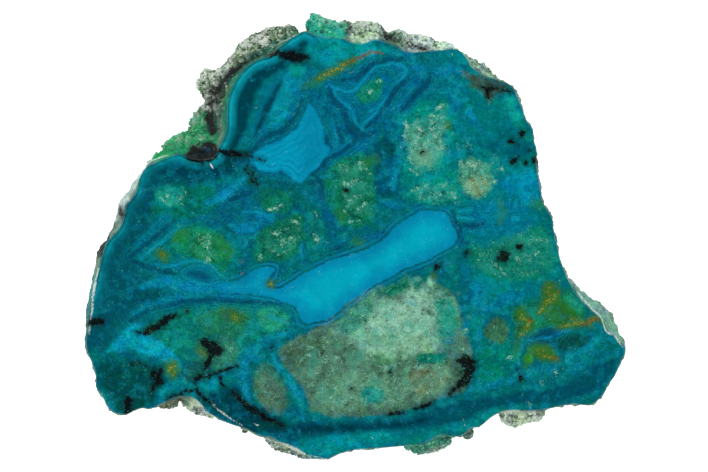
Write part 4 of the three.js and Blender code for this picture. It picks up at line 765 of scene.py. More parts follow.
def lattice_noise(points, period, seed):
    """Smooth noise in space, about -1 to 1: random values on a grid, blended between."""
    place = points / period + 100.5
    cell = np.floor(place).astype(np.int64)
    share = place - cell
    share = share * share * (3 - 2 * share)
    total = np.zeros(len(points))
    for corner in np.ndindex(2, 2, 2):
        at = cell + corner
        key = at[:, 0] * 73856093 ^ at[:, 1] * 19349663 ^ at[:, 2] * 83492791 ^ seed * 2654435761
        key = (key ^ (key >> 13)) * 1274126177 & 0xFFFFFFFF
        value = ((key ^ (key >> 16)) & 0xFFFF) / 32767.5 - 1
        weight = np.prod(np.where(corner, share, 1 - share), axis=1)
        total += value * weight
    return total


def layered_noise(points, period, seed, layers=3):
    """Noise with finer and fainter layers over it."""
    total = np.zeros(len(points))
    for layer in range(layers):
        total += lattice_noise(points, period / 2 ** layer, seed + layer) / 2 ** layer
    return total


# The slab's mesh
def open_rim():
    """The CAD solid's rim alone: its own mesh without the flat face and back."""
    rim = bmesh.new()
    rim.from_mesh(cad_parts[NODE].data)
    rim.verts.layers.float.new("crest")
    bmesh.ops.remove_doubles(rim, verts=rim.verts, dist=1e-6)
    top = slab_high.z - FLAT * MM
    bottom = slab_low.z + FLAT * MM
    flat = []
    for face in rim.faces:
        heights = [vert.co.z for vert in face.verts]
        if min(heights) > top or max(heights) < bottom:
            flat.append(face)
    bmesh.ops.delete(rim, geom=flat, context="FACES")
    return rim


def refine(rim, longest):
    """Halves the rim's long edges, a few times over."""
    for _ in range(REFINING_ROUNDS):
        long_edges = [edge for edge in rim.edges if edge.calc_length() > longest]
        bmesh.ops.subdivide_edges(rim, edges=long_edges, cuts=1)
        bmesh.ops.triangulate(rim, faces=rim.faces)


def roughen(rim):
    """Rounds off the CAD solid's flats and raises the crust's lumps, but leaves the polished edge."""
    top = slab_high.z
    free = [v for v in rim.verts if not v.is_boundary and v.co.z < top - ARRIS * MM]
    for _ in range(3):
        bmesh.ops.smooth_vert(rim, verts=free, factor=0.5, **ALL_AXES)
    rim.normal_update()
    place = np.array([v.co for v in free]) / MM
    below = THICKNESS - place[:, 2]
    fade = smooth_step(below, ARRIS, 1.2) * smooth_step(place[:, 2], 0, 0.5)
    knobbly = np.abs(lattice_noise(place, 1.3, 11)) + 0.6 * np.abs(lattice_noise(place, 0.7, 12))
    grit = lattice_noise(place, 0.42, 13)
    rise = 0.42 * (knobbly - 0.45) + 0.07 * grit
    crest = rim.verts.layers.float["crest"]
    for vert, height, share in zip(free, rise, fade):
        vert[crest] = height
        vert.co += vert.normal * height * share * MM


def fill_flat(slab, height, spacing, facing):
    """Closes the rim's open loop at a height with an even net of triangles."""
    loop = [v for v in slab.verts if v.is_boundary and abs(v.co.z - height) < FLAT * MM]
    place_in_loop = {vert: i for i, vert in enumerate(loop)}
    edges = []
    for edge in slab.edges:
        if edge.is_boundary and edge.verts[0] in place_in_loop and edge.verts[1] in place_in_loop:
            edges.append(tuple(place_in_loop[v] for v in edge.verts))
    rim_points = np.array([v.co[:2] for v in loop])
    step = spacing * MM
    low, high = rim_points.min(0), rim_points.max(0)
    rows = np.arange(low[1], high[1], step * math.sqrt(0.75))
    columns = np.arange(low[0], high[0], step)
    grid = np.array([(x + (i % 2) * step / 2, y) for i, y in enumerate(rows) for x in columns])
    order = ordered_loop(edges)
    outline = rim_points[order]
    grid = grid[is_inside(grid, outline)]
    grid = grid[distance_to(grid, outline, closed=True) > 0.45 * step]
    points = [Vector(p) for p in np.vstack([rim_points, grid])]
    placed, _, faces, origins, _, _ = geometry.delaunay_2d_cdt(points, edges, [], 1, 1e-9)
    corner = []
    for point, origin in zip(placed, origins):
        if origin and origin[0] < len(loop):
            corner.append(loop[origin[0]])
        else:
            corner.append(slab.verts.new((point.x, point.y, height)))
    for face in faces:
        turned = face if facing > 0 else list(reversed(face))
        slab.faces.new([corner[i] for i in turned])
    return order


def ordered_loop(edges):
    """The points of one closed loop of edges, in order."""
    following = {}
    for a, b in edges:
        following.setdefault(a, []).append(b)
        following.setdefault(b, []).append(a)
    order = [edges[0][0], edges[0][1]]
    while True:
        a, b = following[order[-1]]
        step = b if a == order[-2] else a
        if step == order[0]:
            return order
        order.append(step)


def make_slab():
    """One closed mesh: the fine rim, the polished face and the sawn back. Also the polished edge in mm."""
    slab = open_rim()
    refine(slab, RIM_SPACING * MM)
    roughen(slab)
    for edge in slab.edges:
        edge.smooth = not edge.is_boundary
    top_loop = [v for v in slab.verts if v.is_boundary and v.co.z > slab_high.z - FLAT * MM]
    places = np.array([v.co[:2] for v in top_loop]) / MM
    order = fill_flat(slab, slab_high.z, FACE_SPACING, 1)
    fill_flat(slab, slab_low.z, BACK_SPACING, -1)
    bmesh.ops.recalc_face_normals(slab, faces=slab.faces)
    for face in slab.faces:
        face.smooth = True
    mesh = bpy.data.meshes.new("stone")
    slab.to_mesh(mesh)
    slab.free()
    keep_in_box(mesh)
    return mesh, places[order]


# The pattern, as values at the mesh's points
def lay_areas(colours, points, areas, ragged, drifting):
    for code, feather, outline in areas:
        depth = depth_inside(points, outline, 2 * feather + 1)
        strayed = depth + ragged * feather + drifting * max(feather - 0.8, 0)
        share = smooth_step(strayed, -0.5 * feather, 0.5 * feather)[:, None]
        colours += share * (display_colour(code) - colours)


def lay_bands(colours, points, bands, ragged):
    for code, half_width, feather, path in bands:
        depth = depth_in_stroke(points, [(half_width, path)], half_width + 2 * feather)
        share = smooth_step(depth + 0.6 * ragged * feather, -0.5 * feather, 0.5 * feather)[:, None]
        colours += share * (display_colour(code) - colours)


def greatest(points, areas, ragged):
    """The strongest of some soft areas at each point."""
    most = np.zeros(len(points))
    for strength, feather, outline in areas:
        depth = depth_inside(points, outline, 2 * feather)
        most = np.maximum(most, strength * smooth_step(depth + ragged * feather, -feather, feather))
    return most


def warped(place):
    """The flat place of each point, shifted a little so that outlines wander as the stone's do."""
    shift = np.stack([layered_noise(place, 2.6, 21), layered_noise(place, 2.6, 31)], 1)
    return place[:, :2] + 0.22 * shift


def put_attribute(mesh, name, values):
    if values.ndim == 1:
        layer = mesh.attributes.new(name, "FLOAT", "POINT")
        layer.data.foreach_set("value", values.astype(np.float32))
    else:
        layer = mesh.attributes.new(name, "FLOAT_COLOR", "POINT")
        opaque = np.hstack([values, np.ones((len(values), 1))])
        layer.data.foreach_set("color", opaque.astype(np.float32).ravel())


def put_pattern(mesh, polished_edge):
    place = np.empty(3 * len(mesh.vertices), np.float32)
    mesh.vertices.foreach_get("co", place)
    place = place.reshape(-1, 3).astype(float) / MM
    points = warped(place)
    ragged = 0.6 * layered_noise(place, 1.1, 41)
    drifting = 0.6 * layered_noise(place, 3.4, 51, 2)
    edge = np.minimum(distance_to(place[:, :2], polished_edge[::2], closed=True), FAR)
    edge = np.where(is_inside(place[:, :2], polished_edge), edge, -edge)
    polish = smooth_step(place[:, 2], THICKNESS - 0.5 * ARRIS, THICKNESS - 0.05 * ARRIS)
    sawn = (place[:, 2] < FLAT).astype(float)
    inner = np.tile(display_colour(TEAL), (len(place), 1))
    lay_areas(inner, points, AREAS, ragged, drifting)
    lay_bands(inner, points, BANDS, ragged)
    rind = np.tile(display_colour(RIND), (len(place), 1))
    lay_areas(rind, points, CRUST_AREAS, ragged, drifting)
    lay_bands(rind, points, CRUST_BANDS, ragged)
    down_the_wall = smooth_step(THICKNESS - place[:, 2] + 0.5 * ragged, 0.5, 1.6)
    on_crust = smooth_step(-edge + 0.3 * ragged, 0, 0.35)
    on_rind = (1 - polish) * (1 - sawn) * np.maximum(down_the_wall, on_crust)
    wash = inner + on_rind[:, None] * (rind - inner)
    speckled = greatest(points, SPECKLED, ragged)
    put_attribute(mesh, "wash", wash)
    put_attribute(mesh, "speckled", speckled)
    put_attribute(mesh, "edge", edge)
    put_attribute(mesh, "calm", greatest(points, CALM, ragged))
    put_attribute(mesh, "lit", greatest(points, LIT_EDGES, ragged))
    rugged = BARE_WALL_RUGGEDNESS + (1 - BARE_WALL_RUGGEDNESS) * greatest(points, RUGGED, ragged)
    put_attribute(mesh, "rugged", rugged * smooth_step(-edge, -0.2, 1.2))
    below_face = smooth_step(THICKNESS - place[:, 2], DRUSE_CLEARANCE, 2 * DRUSE_CLEARANCE)
    above_back = smooth_step(place[:, 2], 0, 2 * DRUSE_CLEARANCE)
    outside = smooth_step(-edge, 0.3, 0.9)
    put_attribute(mesh, "druse", greatest(points, RUGGED, ragged) * below_face * above_back * outside)
    put_attribute(mesh, "polish", polish)
    put_attribute(mesh, "sawn", sawn)
    put_attribute(mesh, "rind", on_rind)
    put_attribute(mesh, "vein", depth_inside(points, VEIN))
    put_attribute(mesh, "pool", depth_inside(points, POOL))
    put_attribute(mesh, "eye", depth_inside(points, EYE))
    for kind, strokes in STROKES.items():
        put_attribute(mesh, kind, depth_in_stroke(points, strokes, 1.5))


# Shader maths in plain expressions
class Value:
    """A number that varies over a surface: Python's operators on it add Math nodes to its material."""

    def __init__(self, recipe, socket):
        self.recipe = recipe
        self.socket = socket

    def _math(self, operation, *inputs):
        return self.recipe.node("ShaderNodeMath", {"operation": operation}, dict(enumerate(inputs)))

    def __add__(self, other):
        return self._math("ADD", self, other)

    def __radd__(self, other):
        return self._math("ADD", other, self)

    def __sub__(self, other):
        return self._math("SUBTRACT", self, other)

    def __rsub__(self, other):
        return self._math("SUBTRACT", other, self)

    def __mul__(self, other):
        return self._math("MULTIPLY", self, other)

    def __rmul__(self, other):
        return self._math("MULTIPLY", other, self)

    def __abs__(self):
        return self._math("ABSOLUTE", self)

    def sine(self):
        return self._math("SINE", self)

    def at_least(self, other):
        return self._math("MAXIMUM", self, other)

    def step(self, low, high):
        """0 below low, 1 above high and smooth between."""
        sockets = {"Value": self, "From Min": low, "From Max": high}
        return self.recipe.node("ShaderNodeMapRange", {"interpolation_type": "SMOOTHSTEP"}, sockets)


def add_node(tree, kind, settings=None, sockets=None):
    """Adds a node, makes its settings, and fills its sockets with values or with links."""
    made = tree.nodes.new(kind)
    for name, value in (settings or {}).items():
        setattr(made, name, value)
    for name, value in (sockets or {}).items():
        if isinstance(value, bpy.types.NodeSocket):
            tree.links.new(value, made.inputs[name])
        else:
            made.inputs[name].default_value = value
    return made


class Recipe:
    """One material's nodes."""

    def __init__(self, name):
        self.material = bpy.data.materials.new(name)
        self.material.use_nodes = True
        self.tree = self.material.node_tree
        self.shader = self.tree.nodes["Principled BSDF"]
        coordinates = self.node("ShaderNodeTexCoord", output="Object")
        self.place = self.scaled(coordinates, 1 / MM)

    def node(self, kind, settings=None, sockets=None, output=0):
        """Adds a node and gives one of its outputs."""
        filled = {name: getattr(value, "socket", value) for name, value in (sockets or {}).items()}
        return Value(self, add_node(self.tree, kind, settings, filled).outputs[output])

    def attribute(self, name, output="Fac"):
        return self.node("ShaderNodeAttribute", {"attribute_name": name}, output=output)

    def noise(self, period, detail=2.0, roughness=0.5):
        """Smooth noise, 0 to 1, with lumps about a period in mm across."""
        sockets = {"Vector": self.place, "Scale": 1 / period, "Detail": detail, "Roughness": roughness}
        return self.node("ShaderNodeTexNoise", None, sockets)

    def grains(self, period):
        """The distance to the nearest of many points a period in mm apart, as a share of the period."""
        sockets = {"Vector": self.place, "Scale": 1 / period}
        return self.node("ShaderNodeTexVoronoi", None, sockets, "Distance")

    def mix(self, below, above, share):
        """One colour over another."""
        colours = {6: self.colour(below), 7: self.colour(above), 0: share}
        return self.node("ShaderNodeMix", {"data_type": "RGBA"}, colours, 2)

    def colour(self, value):
        return (*display_colour(value), 1) if isinstance(value, str) else value

    def scaled(self, colour, factor):
        return self.node("ShaderNodeVectorMath", {"operation": "SCALE"}, {0: colour, "Scale": factor})

    def product(self, colour, tint):
        return self.node("ShaderNodeVectorMath", {"operation": "MULTIPLY"}, {0: colour, 1: tint})

    def set(self, **sockets):
        for name, value in sockets.items():
            socket = self.shader.inputs[name.replace("_", " ")]
            if isinstance(value, Value):
                self.tree.links.new(value.socket, socket)
            else:
                socket.default_value = value


def contour(depth, at, half_width, soft):
    """A line at one depth from an outline."""
    return 1 - abs(depth - at).step(half_width, half_width + soft)


class StoneRecipe(Recipe):
    """The stone's material: its masks and noises, and one method for each thing that shows in it."""

    def __init__(self):
        super().__init__("polished_chrysocolla")
        self.polish = self.attribute("polish")
        self.sawn = self.attribute("sawn")
        self.rind = self.attribute("rind")
        self.inner = 1 - self.rind
        self.bare = (1 - self.polish) * (1 - self.sawn)
        self.speckled = self.attribute("speckled")
        self.calm = self.attribute("calm")
        self.broad = self.noise(3.4, 3, 0.55) - 0.5
        self.cloud = self.noise(1.3, 4, 0.6) - 0.5
        self.fine = self.noise(0.5, 4, 0.65) - 0.5
        self.sand = self.noise(0.24, 2, 0.6) - 0.5
        self.blot = self.noise(0.8, 5, 0.75) - 0.5
        self.curd = self.noise(1.4, 6, 0.78) - 0.5
        self.speck = self.noise(0.4, 4, 0.7) - 0.5
        self.crumb = self.noise(0.6, 5, 0.75) - 0.5
        self.varied = self.noise(3.0, 2).step(0.36, 0.6)
        self.x = self.node("ShaderNodeSeparateXYZ", None, {"Vector": self.place}, "X")
        self.vein = self.attribute("vein") + self.cloud * 0.7 + self.fine * 0.3
        self.pool = self.attribute("pool") + self.cloud * 1.0 + self.fine * 0.4
        self.ink = self.attribute("ink") + self.blot * 2.2 + self.sand * 0.8
        self.in_ink = self.ink.step(-0.12, 0.12)

    def stroke(self, kind, low, high, ragged):
        """Where the strokes of a kind show, with ragged sides."""
        depth = self.attribute(kind) + self.blot * ragged + self.sand * 0.5 * ragged
        return depth.step(low, high) * self.inner

    def ground(self):
        """The soft areas of colour, clouded, and shifting between green and blue."""
        grain = (self.fine * 1.5 + self.sand * 1.2) * (1 - 0.5 * self.speckled)
        mottle = self.broad * 0.7 + self.cloud * 1.1 + grain
        strength = (1.2 + 1.2 * self.speckled) * (1 - 0.75 * self.calm)
        colour = self.scaled(self.attribute("wash", "Color"), 1 + mottle * strength)
        greener = self.product(colour, GREENER)
        bluer = self.product(colour, BLUER)
        shifted = self.mix(greener, bluer, self.noise(1.9, 4, 0.65).step(0.38, 0.62))
        return self.mix(colour, shifted, 0.75 * (1 - self.speckled) * (1 - self.calm))

    def add_agate_lines(self, colour):
        """Light and dark lines that follow every vein, pool and fold."""
        fold = self.attribute("navy").at_least(self.attribute("glow")) + self.cloud * 0.5
        nearest = self.vein.at_least(self.pool).at_least(fold)
        phase = nearest * 13 + self.cloud * 9 + self.broad * 14
        unspeckled = 1 - self.speckled.step(0.0, 0.3)
        near = nearest.step(-3.2, -0.1) * unspeckled * (0.25 + 0.75 * self.varied) * self.inner
        colour = self.mix(colour, AGATE_LIGHT, phase.sine().step(0.1, 1.0) * near * 0.42)
        return self.mix(colour, AGATE_DARK, (0 - phase.sine()).step(0.3, 1.0) * near * 0.45)

    def add_vein(self, colour):
        """The bright vein with its outlines, which fades out to the left."""
        present = self.x.step(-29, -13) * self.inner
        vein_colour = self.mix(VEIN_SIDE, CYAN, (self.vein + self.broad * 2).step(0.2, 3.0))
        vein_colour = self.scaled(vein_colour, 1 + self.broad * 0.35 + self.fine * 0.25)
        colour = self.mix(colour, vein_colour, self.vein.step(-0.15, 0.25) * present * 0.95)
        for line_colour, depth, half_width, soft, least in (
            (VEIN_SHADOW, -0.25, 0.05, 0.25, 0.2),
            (VEIN_HALO, -0.55, 0.08, 0.2, 0.25),
            (VEIN_SHADOW, -0.9, 0.03, 0.2, 0.1),
        ):
            line = contour(self.vein, depth, half_width, soft)
            colour = self.mix(colour, line_colour, line * present * (least + 0.4 * self.varied))
        return colour

    def add_pool(self, colour):
        """The banded pool."""
        ripple = (self.pool * 6.5 + self.broad * 7 + self.cloud * 3).sine().step(-0.4, 1.0)
        pool_colour = self.mix(POOL_LEFT, POOL_RIGHT, self.x.step(-11, -7) * 0.8)
        pool_colour = self.mix(pool_colour, POOL_RIPPLE, ripple * (0.2 + 0.5 * self.varied))
        pool_colour = self.scaled(pool_colour, 1 + self.broad * 0.3 + self.fine * 0.3)
        colour = self.mix(colour, pool_colour, self.pool.step(-0.2, 0.3) * self.inner)
        rim = contour(self.pool, -0.15, 0.06, 0.3) * self.inner
        return self.mix(colour, POOL_SHADOW, rim * (0.15 + 0.4 * self.varied))

    def add_folds(self, colour):
        """Pale threads, navy shadows and fine lines."""
        colour = self.mix(colour, THREAD, self.stroke("glow", -0.35, 0.25, 0.7) * 0.6)
        colour = self.mix(colour, NAVY, self.stroke("navy", -0.5, 0.3, 1.5) * 0.85)
        return self.mix(colour, FINE_LINE, self.stroke("line", -0.15, 0.12, 0.3) * 0.6)

    def add_eye(self, colour):
        """The eye, with its dark pupil."""
        eye = self.attribute("eye") + self.cloud * 0.5
        colour = self.mix(colour, EYE_RING, contour(eye, 0.15, 0.03, 0.25) * self.inner * 0.35)
        colour = self.mix(colour, NAVY, contour(eye, -0.3, 0.03, 0.2) * self.inner * 0.25)
        colour = self.mix(colour, EYE_BLUE, eye.step(0.2, 0.6) * self.inner * 0.6)
        return self.mix(colour, NAVY, eye.step(0.7, 1.2) * self.inner * 0.6)

    def add_leaf_stains(self, colour):
        """Leaf-green stains with brown in them."""
        leaf_colour = self.mix(LEAF, LEAF_BROWN, (self.fine * 2 + 0.5).step(0.4, 0.8))
        return self.mix(colour, leaf_colour, self.stroke("leaf", -0.9, 0.6, 3.0) * 0.45)

    def add_quartz(self, colour):
        """Milky quartz, with curds of pale crystals, dark pits, and turquoise specks and stains."""
        milk = (self.speckled + self.cloud * 2.2 + self.broad * 1.5).step(0.1, 1.1)
        colour = self.mix(colour, MILK, milk * self.speckled.step(0.1, 0.8) * self.inner * 0.18)
        bone = (self.attribute("bone") + self.cloud * 1.2 + self.fine * 0.6).step(-0.7, 0.45) * self.inner
        density = (self.speckled * 0.8).at_least(bone)
        pale = (self.curd + self.sand * 0.3 + 0.22 * density).step(0.1, 0.25)
        whiteness = (self.curd + self.sand + 0.2 * density).step(0.14, 0.42)
        pale_colour = self.mix(CURD_GREEN, CURD_WHITE, whiteness)
        colour = self.mix(colour, pale_colour, pale * density.step(0.02, 0.3) * self.inner * 0.75)
        pit = (self.noise(1.1, 6, 0.78) - 0.5 + self.sand * 0.4 + 0.08 * self.speckled).step(0.08, 0.2)
        colour = self.mix(colour, PIT, pit * self.speckled.step(0.1, 0.4) * self.inner * 0.45)
        dot = (self.noise(1.7, 4, 0.65) - 0.5 + 0.06 * self.speckled).step(0.09, 0.17)
        colour = self.mix(colour, QUARTZ_DOT, dot * self.speckled.step(0.2, 0.6) * self.inner * 0.45)
        stain = self.noise(3.2, 5, 0.7).step(0.5, 0.64)
        return self.mix(colour, QUARTZ_STAIN, stain * self.speckled.step(0.15, 0.5) * self.inner * 0.4)

    def add_gold_and_rust(self, colour):
        """Golden grains in a mossy halo, and rusty ones."""
        gold = self.attribute("gold") + self.blot * 1.2 + self.speck * 1.2
        colour = self.mix(colour, GOLD_HALO, gold.step(-0.9, 0.1) * self.inner * 0.7)
        yellow = (self.speck + self.sand + self.cloud * 0.6).step(-0.06, 0.16)
        gold_colour = self.mix(GOLD_DARK, GOLD, yellow)
        colour = self.mix(colour, gold_colour, gold.step(-0.1, 0.45) * self.inner * 0.75)
        rust = self.attribute("rust") + self.blot * 1.0 + self.speck * 1.0
        rust_colour = self.mix(RUST_DARK, RUST, (self.speck + self.sand).step(-0.1, 0.14))
        return self.mix(colour, rust_colour, rust.step(-0.1, 0.4) * self.inner * 0.65)

    def add_lit_edge(self, colour):
        """The light line that follows the polished edge."""
        lit = self.attribute("lit") * self.inner
        edge = self.attribute("edge") + self.cloud * 0.5
        colour = self.mix(colour, EDGE_SHADE, (1 - edge.step(0.1, 0.5)) * lit * 0.6)
        glow = contour(edge, 0.8, 0.0, 1.1) * lit * (0.3 + 0.4 * self.varied)
        colour = self.mix(colour, EDGE_GLOW, glow)
        line = contour(edge, 0.5, 0.02, 0.35) * lit * (0.25 + 0.5 * self.varied)
        return self.mix(colour, EDGE_LINE, line)

    def add_crust(self, colour):
        """The crust's pale crests as painted highlights, its dark hollows as painted shade, its translucent
        outer rim paled as painted light, and painted highlights along the sharp edges.
        """
        rugged = self.attribute("rugged") * self.rind
        tone = self.attribute("tone")
        crest = self.attribute("crest") + self.fine * 0.5 + self.sand * 0.5
        colour = self.scaled(colour, 1 + tone * 1.1)
        # painted highlights: the crust paler where it rises
        painted_highlight_mask = (crest + self.crumb + tone * 0.6).step(0.1, 0.4)
        colour = self.mix(colour, CREST_PAINTED_HIGHLIGHT, painted_highlight_mask * rugged * 0.55)
        # painted shade: the crust darker in its hollows
        painted_shade_mask = (0 - crest - self.crumb - tone * 0.5).step(0.0, 0.25)
        colour = self.mix(colour, HOLLOW_PAINTED_SHADE, painted_shade_mask * rugged * 0.85)
        colour = self.mix(colour, CRUST_GREEN, self.noise(2.4, 4).step(0.55, 0.7) * rugged * 0.4)
        # painted light: the crust's outer rim near white, as if lit through its translucent crystals
        painted_rim_light_mask = (0 - self.attribute("edge")).step(1.2, 2.6) * rugged
        colour = self.mix(colour, RIM_PAINTED_LIGHT, painted_rim_light_mask * (self.speck + crest).step(-0.1, 0.15) * 0.8)
        # painted highlight: white lines along the sharp edges, where they catch the lamps
        painted_glint = (self.attribute("painted_glint") + self.speck * 0.5).step(-0.1, 0.1)
        return self.mix(colour, WHITE, painted_glint * (1 - self.sawn) * 0.8)

    def add_ink(self, colour):
        """Black spots and veinlets, with brown in them, and what they darken round them."""
        colour = self.mix(colour, INK_HALO, self.ink.step(-1.0, 0.1) * 0.6)
        ink_colour = self.mix(INK, INK_BROWN, (self.fine + self.sand).step(0.1, 0.3))
        return self.mix(colour, ink_colour, self.in_ink * 0.95)

    def add_dust(self, colour):
        """Dust-fine crystals, and white scratches with small painted highlights."""
        pin_light = (1 - self.grains(0.8).step(0.06, 0.13)) * (self.broad + self.cloud).step(0.0, 0.1)
        dust = (self.noise(0.3, 3, 0.8) - 0.5 + self.cloud * 0.4).step(0.1, 0.22) * (1 - self.calm)
        colour = self.mix(colour, DUST, dust * self.inner * 0.3)
        colour = self.mix(colour, PINPOINT, pin_light * self.inner * 0.4)
        # white scratches and small painted highlights on the polish
        scratch_and_highlight = self.attribute("scratch_and_highlight").step(-0.05, 0.05)
        return self.mix(colour, WHITE, scratch_and_highlight * self.polish * 0.85)

    def roughness(self):
        """Glossy on the polish, a little less on the ink, and dull on the back and the crust."""
        dull = 0.5 * self.sawn + self.bare * (0.85 + self.crumb * 0.4)
        return 0.07 + dull + self.in_ink * self.polish * 0.12

    def relief(self):
        """The crust's grit and the back's faint saw marks."""
        saw_marks = self.node("ShaderNodeTexWave", {"bands_direction": "X", "wave_profile": "SIN"},
                              {"Vector": self.place, "Scale": 0.35, "Distortion": 1.2, "Detail": 2.0})
        grit = (self.crumb * 1.2 + self.fine * 0.8) * self.bare
        height = grit + (saw_marks * 0.08 + self.sand * 0.1) * self.sawn
        return self.node("ShaderNodeBump", None, {"Strength": 0.9, "Distance": 0.4 * MM, "Height": height})


def stone_material():
    """Banded and speckled chrysocolla: glossy on the polish, dull on the back, crusted on the rim."""
    stone = StoneRecipe()
    colour = stone.ground()
    for add in (
        stone.add_agate_lines,
        stone.add_vein,
        stone.add_pool,
        stone.add_folds,
        stone.add_eye,
        stone.add_leaf_stains,
        stone.add_quartz,
        stone.add_gold_and_rust,
        stone.add_lit_edge,
        stone.add_crust,
        stone.add_ink,
        stone.add_dust,
    ):
        colour = add(colour)
    colour = stone.mix(colour, SAWN_FACE, stone.sawn * 0.3)
    stone.set(Base_Color=colour, Roughness=stone.roughness(), Normal=stone.relief(), IOR=1.52)
    return stone.material


def druse_nodes(material):
    """Geometry Nodes that strew small crystals over the crust and give them back as one mesh."""
    tree = bpy.data.node_groups.new("druse", "GeometryNodeTree")
    rim = tree.interface.new_socket("Rim", in_out="INPUT", socket_type="NodeSocketGeometry")
    for name in ("Crystals per m2", "Smallest", "Largest"):
        tree.interface.new_socket(name, in_out="INPUT", socket_type="NodeSocketFloat")
    tree.interface.new_socket("Druse", in_out="OUTPUT", socket_type="NodeSocketGeometry")
    given = add_node(tree, "NodeGroupInput").outputs
    weight = add_node(tree, "GeometryNodeInputNamedAttribute", {"data_type": "FLOAT"}, {"Name": "druse"})
    density = add_node(tree, "ShaderNodeMath", {"operation": "MULTIPLY"},
                       {0: weight.outputs[0], 1: given["Crystals per m2"]})
    places = add_node(tree, "GeometryNodeDistributePointsOnFaces", {"distribute_method": "RANDOM"},
                      {"Mesh": given[rim.name], "Density": density.outputs[0], "Seed": 5})
    crystal = add_node(tree, "GeometryNodeMeshIcoSphere", None, {"Radius": 1.0, "Subdivisions": 1})
    size = add_node(tree, "FunctionNodeRandomValue", {"data_type": "FLOAT"},
                    {2: given["Smallest"], 3: given["Largest"], "Seed": 6})
    shape = add_node(tree, "FunctionNodeRandomValue", {"data_type": "FLOAT_VECTOR"},
                     {0: (0.6, 0.6, 0.8), 1: (1.0, 1.0, 1.4), "Seed": 7})
    scale = add_node(tree, "ShaderNodeVectorMath", {"operation": "SCALE"},
                     {0: shape.outputs[0], "Scale": size.outputs[1]})
    turn = add_node(tree, "FunctionNodeRandomValue", {"data_type": "FLOAT_VECTOR"},
                    {0: (0.0, 0.0, 0.0), 1: (math.tau, math.tau, math.tau), "Seed": 8})
    strewn = add_node(tree, "GeometryNodeInstanceOnPoints", None,
                      {"Points": places.outputs["Points"], "Instance": crystal.outputs["Mesh"],
                       "Rotation": turn.outputs[0], "Scale": scale.outputs[0]})
    tone = add_node(tree, "FunctionNodeRandomValue", {"data_type": "FLOAT"}, {2: -0.5, 3: 0.5, "Seed": 9})
    toned = add_node(tree, "GeometryNodeStoreNamedAttribute", {"data_type": "FLOAT", "domain": "INSTANCE"},
                     {"Geometry": strewn.outputs[0], "Name": "tone", "Value": tone.outputs[1]})
    real = add_node(tree, "GeometryNodeRealizeInstances", None, {"Geometry": toned.outputs[0]})
    done = add_node(tree, "GeometryNodeSetMaterial", None,
                    {"Geometry": real.outputs[0], "Material": material})
    add_node(tree, "NodeGroupOutput", None, {"Druse": done.outputs[0]})
    return tree


def make_druse(stone, material):
    """The small crystals on the crust, as their own piece."""
    modifier = stone.modifiers.new("druse", "NODES")
    modifier.node_group = druse_nodes(material)
    smallest, largest = DRUSE_SIZE
    sizes = {"Crystals per m2": DRUSE_DENSITY / MM ** 2, "Smallest": smallest * MM, "Largest": largest * MM}
    for item in modifier.node_group.interface.items_tree:
        if item.name in sizes:
            modifier[item.identifier] = sizes[item.name]
    bpy.context.view_layer.update()
    mesh = bpy.data.meshes.new_from_object(stone.evaluated_get(bpy.context.evaluated_depsgraph_get()))
    stone.modifiers.remove(modifier)
    keep_in_box(mesh)
    mesh.shade_flat()
    druse = bpy.data.objects.new("druse", mesh)
    bpy.context.scene.collection.objects.link(druse)
    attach(druse, "root")


def keep_in_box(mesh):
    """Moves what stands outside the CAD solid's box onto it."""
    place = np.empty(3 * len(mesh.vertices), np.float32)
    mesh.vertices.foreach_get("co", place)
    held = np.clip(place.reshape(-1, 3), np.array(slab_low, np.float32), np.array(slab_high, np.float32))
    mesh.vertices.foreach_set("co", held.ravel())
    mesh.update()


def make_stone():
    mesh, polished_edge = make_slab()
    put_pattern(mesh, polished_edge)
    material = stone_material()
    mesh.materials.append(material)
    stone = bpy.data.objects.new("stone", mesh)
    bpy.context.scene.collection.objects.link(stone)
    make_druse(stone, material)
    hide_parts(NODE)
    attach(stone, "root")


# The studio
PHOTO_WIDTH = 708
PHOTO_HEIGHT = 472
PIXELS_PER_MM = 6.0
SLAB_CENTRE_PIXEL = (355.0, 236.0)
CAMERA_HEIGHT = 900.0
SENSOR = 36.0
FLOOR_SIZE = 3000.0
FLOOR_GAP = 0.02
PAPER_GLOW = 0.8
LIGHT_DISTANCE = 900.0
HORIZON_GREY = 0.5
ZENITH_GREY = 0.004
SKY_STOPS = (0.1, 0.85)

# Soft boxes round the stone: name, degrees round from +X, degrees up, watts and width in mm
LIGHTS = [
    ("left_box", 180, 38, 4.4, 600),
    ("right_box", 0, 38, 2.8, 700),
    ("far_box", 90, 42, 3.8, 800),
    ("near_box", 270, 42, 2.4, 800),
]


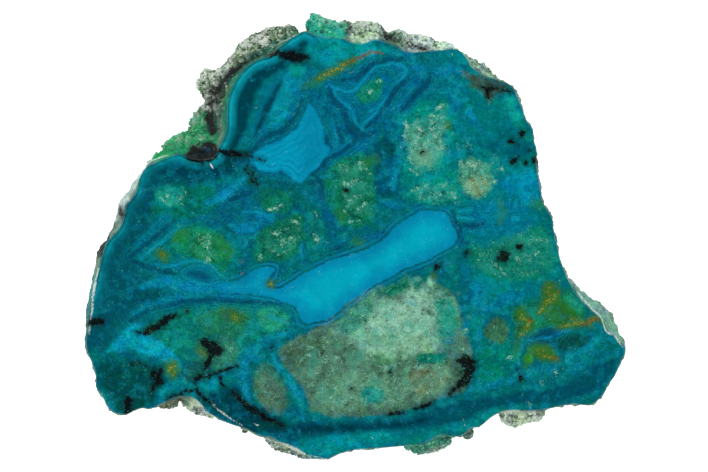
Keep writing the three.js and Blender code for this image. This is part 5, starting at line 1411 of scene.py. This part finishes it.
def make_camera():
    camera_data = bpy.data.cameras.new("camera")
    camera_data.sensor_width = SENSOR
    camera_data.lens = SENSOR * CAMERA_HEIGHT * PIXELS_PER_MM / PHOTO_WIDTH
    camera_data.clip_start = 0.01
    camera = bpy.data.objects.new("camera", camera_data)
    x = (PHOTO_WIDTH / 2 - SLAB_CENTRE_PIXEL[0]) / PIXELS_PER_MM
    y = (SLAB_CENTRE_PIXEL[1] - PHOTO_HEIGHT / 2) / PIXELS_PER_MM
    camera.location = (x * MM, y * MM, (THICKNESS + CAMERA_HEIGHT) * MM)
    bpy.context.scene.collection.objects.link(camera)
    bpy.context.scene.camera = camera


def make_floor():
    half = FLOOR_SIZE / 2 * MM
    level = slab_low.z - FLOOR_GAP * MM
    mesh = bpy.data.meshes.new("floor")
    corners = [(-half, -half, level), (half, -half, level), (half, half, level), (-half, half, level)]
    mesh.from_pydata(corners, [], [(0, 1, 2, 3)])
    paper = Recipe("white_paper")
    paper.set(Base_Color=(0.9, 0.9, 0.9, 1), Roughness=0.9)
    paper.set(Emission_Color=(1, 1, 1, 1), Emission_Strength=PAPER_GLOW)
    mesh.materials.append(paper.material)
    floor = bpy.data.objects.new("floor", mesh)
    bpy.context.scene.collection.objects.link(floor)


def make_lights():
    for name, azimuth, elevation, power, width in LIGHTS:
        light_data = bpy.data.lights.new(name, "AREA")
        light_data.energy = power
        light_data.size = width * MM
        light = bpy.data.objects.new(name, light_data)
        turn, tilt = math.radians(azimuth), math.radians(elevation)
        way = Vector((math.cos(turn) * math.cos(tilt), math.sin(turn) * math.cos(tilt), math.sin(tilt)))
        light.location = way * LIGHT_DISTANCE * MM
        light.rotation_euler = way.to_track_quat("Z", "Y").to_euler()
        bpy.context.scene.collection.objects.link(light)


def make_sky():
    """A sky that is light at the horizon and dark overhead, so that the polish doesn't reflect it."""
    world = bpy.data.worlds.new("studio")
    world.use_nodes = True
    tree = world.node_tree
    direction = add_node(tree, "ShaderNodeTexCoord")
    split = add_node(tree, "ShaderNodeSeparateXYZ", None, {0: direction.outputs["Generated"]})
    shade = add_node(tree, "ShaderNodeValToRGB", None, {"Fac": split.outputs["Z"]})
    for stop, place, grey in zip(shade.color_ramp.elements, SKY_STOPS, (HORIZON_GREY, ZENITH_GREY)):
        stop.position = place
        stop.color = (grey, grey, grey, 1)
    tree.links.new(shade.outputs["Color"], tree.nodes["Background"].inputs["Color"])
    bpy.context.scene.world = world


make_camera()
make_stone()
make_floor()
make_lights()
make_sky()
bpy.context.scene.view_settings.view_transform = "Standard"
